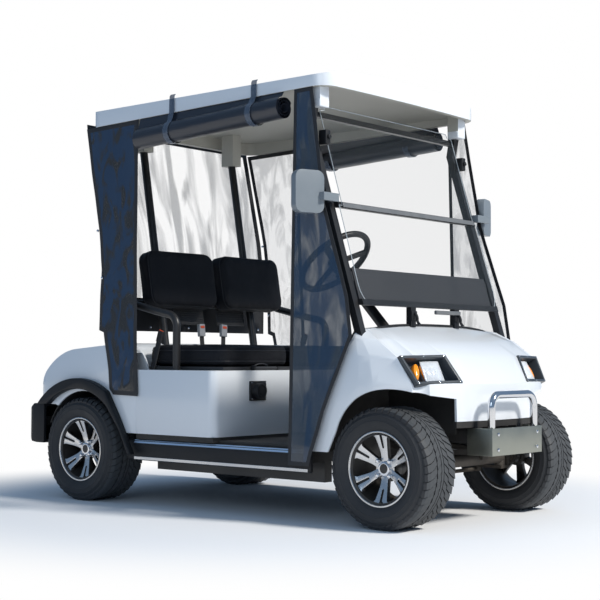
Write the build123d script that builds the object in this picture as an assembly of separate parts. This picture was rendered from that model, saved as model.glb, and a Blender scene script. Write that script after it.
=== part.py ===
from build123d import *
import os
from math import atan2, cos, degrees, hypot, pi, radians, sin

# Two-seat electric golf cart with a canopy, a folding windshield and roll-up side curtains.
# Millimetres. +X is forward, +Y is the cart's left, +Z is up. The origin is on the ground,
# under the middle of the overall length and width.

os.makedirs("parts", exist_ok=True)

# ---- Stance -------------------------------------------------------------------------------
WHEELBASE = 1640.0
FRONT_OVERHANG = 280.0
REAR_OVERHANG = 405.0
FRONT_TRACK = 891.0
REAR_TRACK = 1001.0

OVERALL_LENGTH = WHEELBASE + FRONT_OVERHANG + REAR_OVERHANG
FRONT_X = OVERALL_LENGTH / 2
REAR_X = -OVERALL_LENGTH / 2
FRONT_AXLE_X = FRONT_X - FRONT_OVERHANG
REAR_AXLE_X = REAR_X + REAR_OVERHANG

# ---- Wheels -------------------------------------------------------------------------------
TYRE_DIAMETER = 459.0
TYRE_WIDTH = 205.0
TYRE_SHOULDER = 26.0
BEAD_WIDTH = 168.0
RIM_DIAMETER = 256.0
RIM_WALL = 8.0
LIP_DIAMETER = 286.0
LIP_WIDTH = 8.0
DISC_OFFSET = 35.0
DISC_WIDTH = 12.0
SPOKE_COUNT = 6
SPINDLE_RADIUS = 17.0
HUB_RADIUS = 32.0
HUB_DEPTH = 45.0
CAP_RADIUS = 28.0
SHAFT_CLEARANCE = 0.15

AXLE_Z = TYRE_DIAMETER / 2
TYRE_RADIUS = TYRE_DIAMETER / 2
RIM_RADIUS = RIM_DIAMETER / 2

# ---- Steering and axles -------------------------------------------------------------------
KINGPIN_INSET = 127.5
KINGPIN_Y = FRONT_TRACK / 2 - KINGPIN_INSET
KINGPIN_RADIUS = 10.0
KINGPIN_BOSS_RADIUS = 22.0
KINGPIN_BOSS_HEIGHT = 70.0
FRONT_BEAM_RADIUS = 25.0
FORK_PLATE = 12.0
FORK_GAP = 0.5
STEERING_ARM_LENGTH = 110.0
TIE_PIN_RADIUS = 6.0
TIE_EYE_RADIUS = 14.0
TIE_EYE_HEIGHT = 18.0
TIE_ROD_RADIUS = 8.0
REAR_TUBE_RADIUS = 38.0
DRUM_RADIUS = 90.0
DRUM_WIDTH = 40.0
SPRING_HALF_LENGTH = 215.0
SPRING_THICKNESS = 20.0
SPRING_EYE_RADIUS = 17.0
MOTOR_RADIUS = 78.0
MOTOR_LENGTH = 230.0
MOTOR_AHEAD = 140.0

# ---- Frame --------------------------------------------------------------------------------
RAIL_Y = 150.0
RAIL_WIDTH = 50.0
RAIL_HEIGHT = 56.0
RAIL_LOW_Z = 219.0
RAIL_HIGH_Z = 316.0
CROSS_WIDTH = 50.0
FLOOR_THICKNESS = 15.0
MAT_THICKNESS = 10.0
PLINTH_THICKNESS = 23.0

FLOOR_Z = RAIL_LOW_Z + RAIL_HEIGHT
MAT_Z = FLOOR_Z + FLOOR_THICKNESS
RAIL_TOP_Z = RAIL_HIGH_Z + RAIL_HEIGHT
POD_BOTTOM_Z = MAT_Z + PLINTH_THICKNESS

# ---- Body ---------------------------------------------------------------------------------
BODY_HALF_WIDTH = 570.0
PANEL = 8.0
POD_FRONT_X = REAR_AXLE_X + 813.0
POD_REAR_X = REAR_AXLE_X + 345.0
POD_TOP_Z = 590.0
POD_FLANGE = 36.0
POD_CORNER = 40.0
DOOR_SILL_FRONT_X = FRONT_AXLE_X - 316.0
REAR_ARCH_RADIUS = 262.0
FLARE_INNER_RADIUS = 271.0
FLARE_OUTER_RADIUS = 320.0
FLARE_DEPTH = 33.0
BUMPER_LOW_Z = 245.0
BUMPER_HIGH_Z = 427.0
BUMPER_WALL = 14.0

# ---- Canopy and windshield ----------------------------------------------------------------
ROOF_FRONT_X = FRONT_AXLE_X - 258.0
ROOF_REAR_X = REAR_AXLE_X - 12.0
ROOF_HALF_WIDTH = 550.0
ROOF_CORNER = 80.0
ROOF_FRONT_EDGE_Z = 1718.0
ROOF_EDGE_FALL = 28.0
ROOF_SIDE_DEPTH = 44.0
ROOF_SHOULDER_RISE = 30.0
ROOF_CROWN_RISE = 8.0
ROOF_FRONT_BOW = 15.0
ROOF_WALL = 26.0
ROOF_SKIN = 22.0
WINDSHIELD_BOTTOM_Z = 850.0
WINDSHIELD_FOLD_Z = 1247.0
WINDSHIELD_TOP_DROP = 62.0
WINDSHIELD_BOTTOM_X = FRONT_AXLE_X - 103.0
WINDSHIELD_RAKE = 0.312
WINDSHIELD_HALF_WIDTH = 490.0
PANE = 5.0
STRUT_Y = 503.0
MIRROR_REACH = 125.0
STRUT_SIZE = 32.0
BAR_SIZE = 24.0

ROOF_REAR_EDGE_Z = ROOF_FRONT_EDGE_Z - ROOF_EDGE_FALL
ROOF_SIDE_TOP_Z = ROOF_FRONT_EDGE_Z + ROOF_SIDE_DEPTH
ROOF_SHOULDER_Z = ROOF_SIDE_TOP_Z + ROOF_SHOULDER_RISE
ROOF_CROWN_Z = ROOF_SHOULDER_Z + ROOF_CROWN_RISE
WINDSHIELD_TOP_Z = ROOF_FRONT_EDGE_Z - WINDSHIELD_TOP_DROP
BELOW_ROOF_Z = ROOF_REAR_EDGE_Z - 190.0

# ---- Seats --------------------------------------------------------------------------------
SEAT_INNER_Y = 18.0
SEAT_OUTER_Y = 480.0
SEAT_DEPTH = 490.0
SEAT_SETBACK = 30.0
SEAT_CLEARANCE = 16.0
SEAT_BASE_THICKNESS = 14.0
CUSHION_THICKNESS = 94.0
BACKREST_HEIGHT = 265.0
BACKREST_THICKNESS = 88.0
BACKREST_BOTTOM_Z = 865.0
SOFT_GAP = 0.3
REAR_STRUT_Y = 300.0
REAR_STRUT_RADIUS = 18.0
ARM_RADIUS = 17.0
ARM_Y = 508.0
HINGE_PIN_RADIUS = 4.0
HINGE_BARREL_RADIUS = 8.0

# ---- Steering wheel -----------------------------------------------------------------------
STEERING_Y = -250.0
STEERING_HUB_X = FRONT_AXLE_X - 440.0
STEERING_HUB_Z = 1043.0
STEERING_WHEEL_RADIUS = 160.0
STEERING_GRIP_RADIUS = 13.0
COLUMN_ANGLE = 47.0
COLUMN_RADIUS = 21.0

# ---- Curtains -----------------------------------------------------------------------------
CURTAIN = 3.0
ROLL_RADIUS = 48.0
CURTAIN_TOP_Y = ROOF_HALF_WIDTH - 2.0
CURTAIN_LOW_Y = BODY_HALF_WIDTH + 8.0


# ---- Small makers -------------------------------------------------------------------------
def span(x, y, z):
    """A box from its lowest to its highest corner on each axis."""
    size = Box(x[1] - x[0], y[1] - y[0], z[1] - z[0])
    return Pos((x[0] + x[1]) / 2, (y[0] + y[1]) / 2, (z[0] + z[1]) / 2) * size


def rod(start, end, radius):
    """A round bar between two points."""
    a = Vector(*start)
    b = Vector(*end)
    bar = Cylinder(radius, (b - a).length, align=(Align.CENTER, Align.CENTER, Align.MIN))
    return Plane(origin=a, z_dir=(b - a).normalized()) * bar


def side_prism(edges, y_low, y_high):
    """A prism across the cart from a closed outline of edges drawn in (X, Z)."""
    face = make_face(edges)
    raised = Plane(origin=(0, y_high, 0), x_dir=(1, 0, 0), z_dir=(0, -1, 0)) * face
    return extrude(raised, amount=y_high - y_low)


def side_plate(points, y_low, y_high):
    """A prism across the cart from straight-sided (X, Z) corners."""
    return side_prism(Polyline(*points, close=True).edges(), y_low, y_high)


def bent_tube(points, radii, radius):
    """A round tube along straight runs joined by tangent arcs."""
    path = FilletPolyline(*points, radius=radii)
    start = Vector(*points[0])
    heading = (Vector(*points[1]) - start).normalized()
    return sweep(Plane(origin=start, z_dir=heading) * Circle(radius), path=path)


def mirrored(shape):
    """The same piece on the cart's other side."""
    return mirror(shape, about=Plane.XZ)


def pair(shape):
    """A left and a right copy that share one node."""
    return Compound(children=[shape, mirrored(shape)])


nodes = {}


def node(name, shape):
    nodes[name] = shape


# ---- Frame rails and cross members --------------------------------------------------------
# Each rail is low between the axles and rises over both of them.
rail_low_rear_x = POD_REAR_X
rail_high_rear_x = POD_REAR_X - 85.0
rail_low_front_x = DOOR_SILL_FRONT_X + 2.0
rail_high_front_x = FRONT_AXLE_X - 235.0
rail_rear_x = REAR_X + 40.0
BUMPER_PLATE = 5.0
rail_front_x = FRONT_X - BUMPER_PLATE

rail_line = [
    (rail_rear_x, RAIL_HIGH_Z),
    (rail_high_rear_x, RAIL_HIGH_Z),
    (rail_low_rear_x, RAIL_LOW_Z),
    (rail_low_front_x, RAIL_LOW_Z),
    (rail_high_front_x, RAIL_HIGH_Z),
    (rail_front_x, RAIL_HIGH_Z),
]
rail_outline = rail_line + [(x, z + RAIL_HEIGHT) for x, z in reversed(rail_line)]
rail_inner_y = RAIL_Y - RAIL_WIDTH / 2
rail_outer_y = RAIL_Y + RAIL_WIDTH / 2
rail_left = side_plate(rail_outline, rail_inner_y, rail_outer_y)
node("frame_rails", pair(rail_left))

# Cross members between the rails: (centre X, bottom Z, height).
cross_height = 40.0
low_cross_z = RAIL_LOW_Z + RAIL_HEIGHT - cross_height
high_cross_z = RAIL_HIGH_Z + 8.0
cross_table = [
    (FRONT_AXLE_X + 225.0, high_cross_z),
    (FRONT_AXLE_X - 180.0, high_cross_z),
    (rail_low_front_x - 40.0, low_cross_z),
    ((rail_low_front_x + rail_low_rear_x) / 2, low_cross_z),
    (rail_low_rear_x + 40.0, low_cross_z),
    (rail_rear_x + 35.0, high_cross_z),
]
cross_members = []
for centre_x, low_z in cross_table:
    x_span = (centre_x - CROSS_WIDTH / 2, centre_x + CROSS_WIDTH / 2)
    z_span = (low_z, low_z + cross_height)
    cross_members.append(span(x_span, (-rail_inner_y, rail_inner_y), z_span))
# Outriggers carry the floor, the sills and the rear bumper outside the rails.
SILL_OUTER_Y = BODY_HALF_WIDTH - 8.0
SILL_WIDTH = 22.0
SILL_LOW_Z = FLOOR_Z - 78.0
SIDE_RAIL_WIDTH = 45.0
SIDE_RAIL_HEIGHT = 82.0
SIDE_RAIL_INSET = 90.0
sill_inner_y = SILL_OUTER_Y - SILL_WIDTH
bumper_half = BODY_HALF_WIDTH - 4.0
arm_reach = [sill_inner_y, sill_inner_y, sill_inner_y, bumper_half - BUMPER_WALL]
for (centre_x, low_z), reach in zip(cross_table[2:], arm_reach):
    x_span = (centre_x - CROSS_WIDTH / 2, centre_x + CROSS_WIDTH / 2)
    arm = span(x_span, (rail_outer_y, reach), (low_z, low_z + cross_height))
    cross_members += [arm, mirrored(arm)]
# Box rails hang under the outriggers, just inboard of the sills.
side_rail_y = (sill_inner_y - SIDE_RAIL_INSET - SIDE_RAIL_WIDTH, sill_inner_y - SIDE_RAIL_INSET)
side_rail_x = (rail_low_rear_x + 40.0 - CROSS_WIDTH / 2, rail_low_front_x - 40.0 + CROSS_WIDTH / 2)
side_rail = span(side_rail_x, side_rail_y, (low_cross_z - SIDE_RAIL_HEIGHT, low_cross_z))
cross_members += [side_rail, mirrored(side_rail)]
node("frame_cross_members", Compound(children=cross_members))

# ---- Axles and springs --------------------------------------------------------------------
kingpin_z = (AXLE_Z - KINGPIN_BOSS_HEIGHT / 2, AXLE_Z + KINGPIN_BOSS_HEIGHT / 2)
front_axle = rod((FRONT_AXLE_X, -KINGPIN_Y, AXLE_Z), (FRONT_AXLE_X, KINGPIN_Y, AXLE_Z), FRONT_BEAM_RADIUS)
for y in (-KINGPIN_Y, KINGPIN_Y):
    front_axle += rod((FRONT_AXLE_X, y, kingpin_z[0]), (FRONT_AXLE_X, y, kingpin_z[1]), KINGPIN_BOSS_RADIUS)
for y in (-KINGPIN_Y, KINGPIN_Y):
    bore = KINGPIN_RADIUS + SHAFT_CLEARANCE
    front_axle -= rod((FRONT_AXLE_X, y, kingpin_z[0] - 1), (FRONT_AXLE_X, y, kingpin_z[1] + 1), bore)
node("front_axle", front_axle)


def leaf_spring(axle_x, tube_radius, saddle_half):
    """One sprung side: a bowed leaf pack on its saddle, with an eye and shackle at each end."""
    saddle_top = AXLE_Z + tube_radius + 8.0
    eye_z = RAIL_HIGH_Z - 30.0
    y_span = (rail_inner_y, rail_outer_y)
    ends = [(axle_x - SPRING_HALF_LENGTH, eye_z), (axle_x + SPRING_HALF_LENGTH, eye_z)]
    low = ThreePointArc(ends[0], (axle_x, saddle_top), ends[1])
    high_ends = [(x, z + SPRING_THICKNESS) for x, z in ends]
    high = ThreePointArc(high_ends[0], (axle_x, saddle_top + SPRING_THICKNESS), high_ends[1])
    caps = [Line(ends[0], high_ends[0]), Line(ends[1], high_ends[1])]
    shape = side_prism([low, high] + caps, *y_span)
    for x, z in ends:
        middle_z = z + SPRING_THICKNESS / 2
        shape += rod((x, y_span[0], middle_z), (x, y_span[1], middle_z), SPRING_EYE_RADIUS)
        shape += span((x - 10, x + 10), y_span, (middle_z, RAIL_HIGH_Z))
    saddle = span((axle_x - saddle_half, axle_x + saddle_half), y_span, (AXLE_Z, saddle_top + 4.0))
    shape += saddle
    shape -= rod((axle_x, y_span[0] - 1, AXLE_Z), (axle_x, y_span[1] + 1, AXLE_Z), tube_radius)
    return shape


front_spring = leaf_spring(FRONT_AXLE_X, FRONT_BEAM_RADIUS, 38.0)
rear_spring = leaf_spring(REAR_AXLE_X, REAR_TUBE_RADIUS, 50.0)
springs = [front_spring, mirrored(front_spring), rear_spring, mirrored(rear_spring)]
node("leaf_springs", Compound(children=springs))

rear_hub_y = REAR_TRACK / 2 - HUB_DEPTH
drum_outer_y = rear_hub_y - 12.0
drum_inner_y = drum_outer_y - DRUM_WIDTH
rear_spindle_end = REAR_TRACK / 2 + DISC_OFFSET
rear_axle = rod((REAR_AXLE_X, -drum_inner_y, AXLE_Z), (REAR_AXLE_X, drum_inner_y, AXLE_Z), REAR_TUBE_RADIUS)
for side in (-1, 1):
    drum_ends = ((REAR_AXLE_X, side * drum_inner_y, AXLE_Z), (REAR_AXLE_X, side * drum_outer_y, AXLE_Z))
    rear_axle += rod(*drum_ends, DRUM_RADIUS)
    stub_end = (REAR_AXLE_X, side * rear_spindle_end, AXLE_Z)
    rear_axle += rod(drum_ends[0], stub_end, SPINDLE_RADIUS)
gearcase_half = 60.0
rear_axle += rod((REAR_AXLE_X, -gearcase_half, AXLE_Z), (REAR_AXLE_X, gearcase_half, AXLE_Z), 80.0)
motor_x = REAR_AXLE_X + MOTOR_AHEAD
motor_ends = ((motor_x, -MOTOR_LENGTH / 2, AXLE_Z), (motor_x, MOTOR_LENGTH / 2, AXLE_Z))
motor = rod(*motor_ends, MOTOR_RADIUS)
link_x = (REAR_AXLE_X, motor_x)
rear_axle += span(link_x, (-gearcase_half, gearcase_half), (AXLE_Z - 50.0, AXLE_Z + 50.0))
rear_axle -= motor
node("rear_axle", rear_axle)
node("drive_motor", motor)

# ---- Steering knuckles and tie rod --------------------------------------------------------
fork_inner_z = KINGPIN_BOSS_HEIGHT / 2 + FORK_GAP
fork_outer_z = fork_inner_z + FORK_PLATE
fork_half = KINGPIN_BOSS_RADIUS
web_inner_y = KINGPIN_Y + KINGPIN_BOSS_RADIUS + 4.0
web_outer_y = web_inner_y + 10.0
front_hub_y = FRONT_TRACK / 2 - HUB_DEPTH
front_spindle_end = FRONT_TRACK / 2 + DISC_OFFSET
arm_end_x = FRONT_AXLE_X - STEERING_ARM_LENGTH
arm_z = (AXLE_Z - fork_outer_z, AXLE_Z - fork_inner_z)
eye_top_z = arm_z[0] - FORK_GAP
eye_low_z = eye_top_z - TIE_EYE_HEIGHT

fork_x = (FRONT_AXLE_X - fork_half, FRONT_AXLE_X + fork_half)
fork_y = (KINGPIN_Y - fork_half, web_outer_y)
knuckle = span(fork_x, fork_y, (AXLE_Z + fork_inner_z, AXLE_Z + fork_outer_z))
knuckle += span(fork_x, fork_y, arm_z)
knuckle += span(fork_x, (web_inner_y, web_outer_y), (AXLE_Z - fork_outer_z, AXLE_Z + fork_outer_z))
knuckle += rod((FRONT_AXLE_X, web_inner_y, AXLE_Z), (FRONT_AXLE_X, front_spindle_end, AXLE_Z), SPINDLE_RADIUS)
kingpin_ends = ((FRONT_AXLE_X, KINGPIN_Y, arm_z[0]), (FRONT_AXLE_X, KINGPIN_Y, AXLE_Z + fork_outer_z))
knuckle += rod(*kingpin_ends, KINGPIN_RADIUS)
arm_half = 11.0
knuckle += span((arm_end_x, FRONT_AXLE_X), (KINGPIN_Y - arm_half, KINGPIN_Y + arm_half), arm_z)
knuckle += rod((arm_end_x, KINGPIN_Y, arm_z[0]), (arm_end_x, KINGPIN_Y, arm_z[1]), arm_half)
knuckle += rod((arm_end_x, KINGPIN_Y, eye_low_z), (arm_end_x, KINGPIN_Y, arm_z[1]), TIE_PIN_RADIUS)
node("knuckle_left", knuckle)
node("knuckle_right", mirrored(knuckle))

tie_z = (eye_low_z + eye_top_z) / 2
tie_bore = TIE_PIN_RADIUS + SHAFT_CLEARANCE
tie_end_y = KINGPIN_Y - (TIE_EYE_RADIUS + tie_bore) / 2
tie_rod = rod((arm_end_x, -tie_end_y, tie_z), (arm_end_x, tie_end_y, tie_z), TIE_ROD_RADIUS)
for y in (-KINGPIN_Y, KINGPIN_Y):
    tie_rod += rod((arm_end_x, y, eye_low_z), (arm_end_x, y, eye_top_z), TIE_EYE_RADIUS)
for y in (-KINGPIN_Y, KINGPIN_Y):
    tie_rod -= rod((arm_end_x, y, eye_low_z - 1), (arm_end_x, y, eye_top_z + 1), tie_bore)
node("tie_rod", tie_rod)

# ---- Wheels -------------------------------------------------------------------------------
# Both are turned about the wheel's axis; outline points are (radius, outboard distance).


def turned(points):
    """Turn a closed outline about Z, with radius along X and outboard along Z."""
    face = make_face(Polyline(*points, close=True).edges())
    upright = Plane(origin=(0, 0, 0), x_dir=(1, 0, 0), z_dir=(0, -1, 0)) * face
    return revolve(upright, axis=Axis.Z)


half_bead = BEAD_WIDTH / 2
half_tread = TYRE_WIDTH / 2
sidewall_radius = (LIP_DIAMETER / 2 + TYRE_RADIUS) / 2
flange_radius = LIP_DIAMETER / 2
tyre_side = [
    (RIM_RADIUS, half_bead),
    (flange_radius + 2.0, half_bead),
    (flange_radius + 12.0, half_tread - 6.0),
    (sidewall_radius, half_tread),
    (TYRE_RADIUS - TYRE_SHOULDER, half_tread - 3.0),
    (TYRE_RADIUS - 8.0, half_tread - 13.0),
    (TYRE_RADIUS - 1.5, half_tread - TYRE_SHOULDER),
    (TYRE_RADIUS, half_tread - TYRE_SHOULDER - 20.0),
]
tyre = turned(tyre_side + [(r, -w) for r, w in reversed(tyre_side)])

barrel_bore = RIM_RADIUS - RIM_WALL
lip_outer = half_bead + LIP_WIDTH
rim = turned([
    (barrel_bore, -lip_outer),
    (flange_radius, -lip_outer),
    (flange_radius, -half_bead),
    (RIM_RADIUS, -half_bead),
    (RIM_RADIUS, half_bead),
    (flange_radius, half_bead),
    (flange_radius, lip_outer),
    (barrel_bore, lip_outer),
])
disc_z = (DISC_OFFSET, DISC_OFFSET + DISC_WIDTH)
disc = Pos(0, 0, disc_z[0]) * Cylinder(barrel_bore + 1, DISC_WIDTH, align=(Align.CENTER, Align.CENTER, Align.MIN))
window_inner = 50.0
window_outer = barrel_bore - 8.0
for index in range(SPOKE_COUNT):
    # One trapezoid window between each two spokes.
    half_inner = 11.0
    half_outer = 36.0
    window = Polyline((window_inner, -half_inner), (window_outer, -half_outer),
                      (window_outer, half_outer), (window_inner, half_inner), close=True)
    cutter = extrude(make_face(window.edges()), amount=DISC_WIDTH + 2)
    turn = (index + 0.5) * 360 / SPOKE_COUNT
    disc -= Rot(0, 0, turn) * Pos(0, 0, disc_z[0] - 1) * cutter
rim += disc
rim += Pos(0, 0, -HUB_DEPTH) * Cylinder(HUB_RADIUS, HUB_DEPTH + disc_z[1], align=(Align.CENTER, Align.CENTER, Align.MIN))
rim -= Pos(0, 0, -HUB_DEPTH - 1) * Cylinder(
    SPINDLE_RADIUS + SHAFT_CLEARANCE, HUB_DEPTH + DISC_OFFSET + 2, align=(Align.CENTER, Align.CENTER, Align.MIN))
rim += Pos(0, 0, disc_z[1]) * Cylinder(CAP_RADIUS, 14.0, align=(Align.CENTER, Align.CENTER, Align.MIN))

wheel_table = [
    ("front_left", FRONT_AXLE_X, FRONT_TRACK / 2, 1),
    ("front_right", FRONT_AXLE_X, FRONT_TRACK / 2, -1),
    ("rear_left", REAR_AXLE_X, REAR_TRACK / 2, 1),
    ("rear_right", REAR_AXLE_X, REAR_TRACK / 2, -1),
]
for place, axle_x, half_track, side in wheel_table:
    # Outboard is +Y on the left and -Y on the right.
    seat = Plane(origin=(axle_x, side * half_track, AXLE_Z), x_dir=(1, 0, 0), z_dir=(0, side, 0))
    node("tyre_" + place, seat * tyre)
    node("rim_" + place, seat * rim)

# ---- Floor, sills and plinth --------------------------------------------------------------
floor_half = sill_inner_y
floor_pan = span((POD_REAR_X, DOOR_SILL_FRONT_X), (-floor_half, floor_half), (FLOOR_Z, MAT_Z))
plinth_half = BODY_HALF_WIDTH - PANEL / 2
plinth_front_x = POD_FRONT_X - PANEL / 2
floor_pan += span((POD_REAR_X, plinth_front_x), (-plinth_half, plinth_half), (MAT_Z, POD_BOTTOM_Z))
node("floor_pan", floor_pan)
mat_x = (plinth_front_x, DOOR_SILL_FRONT_X - 12.0)
node("floor_mat", span(mat_x, (-floor_half + 10.0, floor_half - 10.0), (MAT_Z, MAT_Z + MAT_THICKNESS)))
sill = span((POD_REAR_X - 65.0, DOOR_SILL_FRONT_X + 6.0), (sill_inner_y, SILL_OUTER_Y), (SILL_LOW_Z, MAT_Z - 5.0))
node("sills", pair(sill))

# ---- Front cowl ---------------------------------------------------------------------------
# Level sections, from the nose's bottom edge to the ridge under the windshield. Columns: height,
# then distances ahead of the front axle and insets from the body's side of the nose, the end of
# its front curve (a), the turn of the corner (b), the end of the fender's taper (c) and the side (d).
COWL_TABLE = [
    # z, nose, ax, ay, bx, by, cx, cy, dx, dy
    (404.0, 206.0, 150.0, 160.0, 116.0, 93.0, -20.0, 27.0, -82.0, 14.0),
    (545.0, 201.0, 146.0, 158.0, 113.0, 92.0, -20.0, 27.0, -82.0, 14.0),
    (652.0, 133.0, 90.0, 142.0, 56.0, 70.0, -38.0, 29.0, -88.0, 17.0),
    (718.0, 22.0, -6.0, 140.0, -36.0, 72.0, -82.0, 42.0, -108.0, 32.0),
    (758.0, -78.0, -98.0, 165.0, -110.0, 105.0, -124.0, 70.0, -140.0, 58.0),
    (775.0, -116.0, -122.0, 380.0, -128.0, 335.0, -138.0, 308.0, -152.0, 298.0),
]
COWL_BACK_X = -350.0


def cowl_section(row, wall, drop):
    """One level outline; wall draws it in and drop lowers it, for the hollow inside."""
    z, nose, ax, ay, bx, by, cx, cy, dx, dy = row
    ay, by, cy, dy = (BODY_HALF_WIDTH - inset for inset in (ay, by, cy, dy))
    a = Vector(ax - wall, ay - wall)
    b = Vector(bx - wall, by - wall)
    c = Vector(cx - wall, cy - wall)
    d = Vector(dx - wall, dy - wall)
    out = Vector(b.X - a.X, b.Y - a.Y).rotate(Axis.Z, -90).normalized()
    turn = (a + b) / 2 - out * (b - a).length * 0.16
    back = Vector(COWL_BACK_X, dy - wall)
    half = [Line(back, d), Line(d, c), Line(c, b), ThreePointArc(b, turn, a)]
    other = [mirror(edge, about=Plane.XZ) for edge in half]
    front = ThreePointArc((a.X, a.Y), (nose - wall, 0), (a.X, -a.Y))
    rear = Line((COWL_BACK_X, -(dy - wall)), (COWL_BACK_X, dy - wall))
    face = make_face(half + [front] + other + [rear])
    return Pos(FRONT_AXLE_X, 0, z - drop) * face


cowl_outer = loft([cowl_section(row, 0.0, 0.0) for row in COWL_TABLE], ruled=True)
first_row = (COWL_TABLE[0][0] - 30.0,) + COWL_TABLE[0][1:]
inner_rows = [first_row] + COWL_TABLE[1:]
cowl_inner = loft([cowl_section(row, PANEL, PANEL) for row in inner_rows], ruled=True)

# The door-side edge of the cowl, as (distance ahead of the front axle, height).
DOOR_EDGE = [(-309.0, 281.0), (-241.0, 483.0), (-175.0, 634.0), (-127.0, 716.0), (-116.0, 790.0)]
door_edge = [(FRONT_AXLE_X + x, z) for x, z in DOOR_EDGE]
behind_door_edge = [(FRONT_AXLE_X - 600.0, 800.0), (FRONT_AXLE_X - 600.0, 150.0), (door_edge[0][0] - 45.0, 150.0)]
open_back = side_plate(behind_door_edge + door_edge, -700, 700)

# The side panels go lower than the nose: they are the same sides, carried down to the sill.
SIDE_PANEL_BOTTOM_Z = 283.0
side_z = (SIDE_PANEL_BOTTOM_Z, COWL_TABLE[0][0])
side_y = BODY_HALF_WIDTH - COWL_TABLE[0][9]
side_panel = span((FRONT_AXLE_X + COWL_BACK_X, FRONT_AXLE_X + COWL_TABLE[0][8]), (side_y - PANEL, side_y), side_z)

# The wheel arch: low behind the tyre, round above it, and open to the front outside the nose.
NOSE_INSET = 292.0
NOSE_HALF_WIDTH = BODY_HALF_WIDTH - NOSE_INSET
ARCH_GAP = 70.5
ARCH_RADIUS = TYRE_RADIUS + ARCH_GAP
arch_rear = [(-250.0, 60.0), (-236.0, 270.0), (-190.0, 365.0)]
arch_points = [(FRONT_AXLE_X + x, z) for x, z in arch_rear]
arch_top = (FRONT_AXLE_X + 30.0, AXLE_Z + ARCH_RADIUS)
arch_mid = (FRONT_AXLE_X - 100.0, 488.0)
arch_front_angle = radians(8.0)
arch_front = (FRONT_AXLE_X + 30.0 + ARCH_RADIUS * cos(arch_front_angle), AXLE_Z + ARCH_RADIUS * sin(arch_front_angle))
arch_crown_angle = radians(50.0)
arch_crown = (FRONT_AXLE_X + 30.0 + ARCH_RADIUS * cos(arch_crown_angle), AXLE_Z + ARCH_RADIUS * sin(arch_crown_angle))
arch_edges = [
    Line(arch_points[0], arch_points[1]),
    Line(arch_points[1], arch_points[2]),
    ThreePointArc(arch_points[2], arch_mid, arch_top),
    ThreePointArc(arch_top, arch_crown, arch_front),
    Line(arch_front, (arch_front[0], 60.0)),
    Line((arch_front[0], 60.0), arch_points[0]),
]
arch_cut = side_prism(arch_edges, NOSE_HALF_WIDTH, 720)

# Headlight openings: corners of the left bezel, as (ahead of the front axle, half width, height).
LAMP_INNER_TOP = Vector(108.0, BODY_HALF_WIDTH - 303.0, 654.0)
LAMP_INNER_LOW = Vector(172.0, BODY_HALF_WIDTH - 334.0, 546.0)
LAMP_OUTER_LOW = Vector(124.0, BODY_HALF_WIDTH - 102.0, 542.0)
lamp_shift = Vector(FRONT_AXLE_X, 0, 0)
lamp_out = (LAMP_OUTER_LOW - LAMP_INNER_LOW).normalized()
lamp_plane = Plane(
    origin=lamp_shift + (LAMP_INNER_TOP + LAMP_OUTER_LOW) / 2,
    x_dir=lamp_out,
    z_dir=(LAMP_INNER_TOP - LAMP_INNER_LOW).cross(lamp_out) * -1,
)
lamp_corners = [LAMP_INNER_LOW, LAMP_OUTER_LOW, LAMP_INNER_TOP + LAMP_OUTER_LOW - LAMP_INNER_LOW, LAMP_INNER_TOP]
lamp_flat = [lamp_plane.to_local_coords(lamp_shift + corner) for corner in lamp_corners]
if lamp_plane.z_dir.X < 0:
    raise ValueError("the lamp must face forward")


def lamp_prism(inset, back, front):
    """The bezel's outline drawn in by inset, from back to front along the lamp's own axis."""
    outline = make_face(Polyline(*[(p.X, p.Y) for p in lamp_flat], close=True).edges())
    if inset:
        outline = offset(outline, amount=-inset, kind=Kind.INTERSECTION)
    return lamp_plane * Pos(0, 0, back) * extrude(outline, amount=front - back)


BEZEL_BACK = -40.0
BEZEL_FRONT = 14.0
BEZEL_RIM = 12.0
cowl = cowl_outer - cowl_inner
cowl += side_panel
cowl += mirrored(side_panel)
cowl -= open_back
lamp_hole = lamp_prism(0.0, -140.0, 80.0)
for cutter in (arch_cut, lamp_hole):
    cowl -= cutter
    cowl -= mirrored(cutter)
node("front_cowl", cowl)

bezel = lamp_prism(0.0, BEZEL_BACK, BEZEL_FRONT) - lamp_prism(BEZEL_RIM, BEZEL_BACK + 6.0, BEZEL_FRONT + 1.0)
node("headlight_bezels", pair(bezel))

# Square lamp and amber marker inside the bezel, both seated on its back wall.
lens_back = BEZEL_BACK + 6.0
lens_width = 96.0
lens_height = 84.0
lens_centre_x = -18.0
lens = lamp_plane * Pos(lens_centre_x, 0, lens_back) * Box(
    lens_width, lens_height, 30.0, align=(Align.CENTER, Align.CENTER, Align.MIN))
lens = lens & lamp_prism(BEZEL_RIM, lens_back, BEZEL_FRONT)
marker = lamp_plane * Pos(lens_centre_x + lens_width / 2 + 24.0, 4.0, lens_back) * Cylinder(
    19.0, 34.0, align=(Align.CENTER, Align.CENTER, Align.MIN))
marker = marker & lamp_prism(BEZEL_RIM, lens_back, BEZEL_FRONT)
node("headlamp_lenses", pair(lens))
node("marker_lenses", pair(marker))

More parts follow.
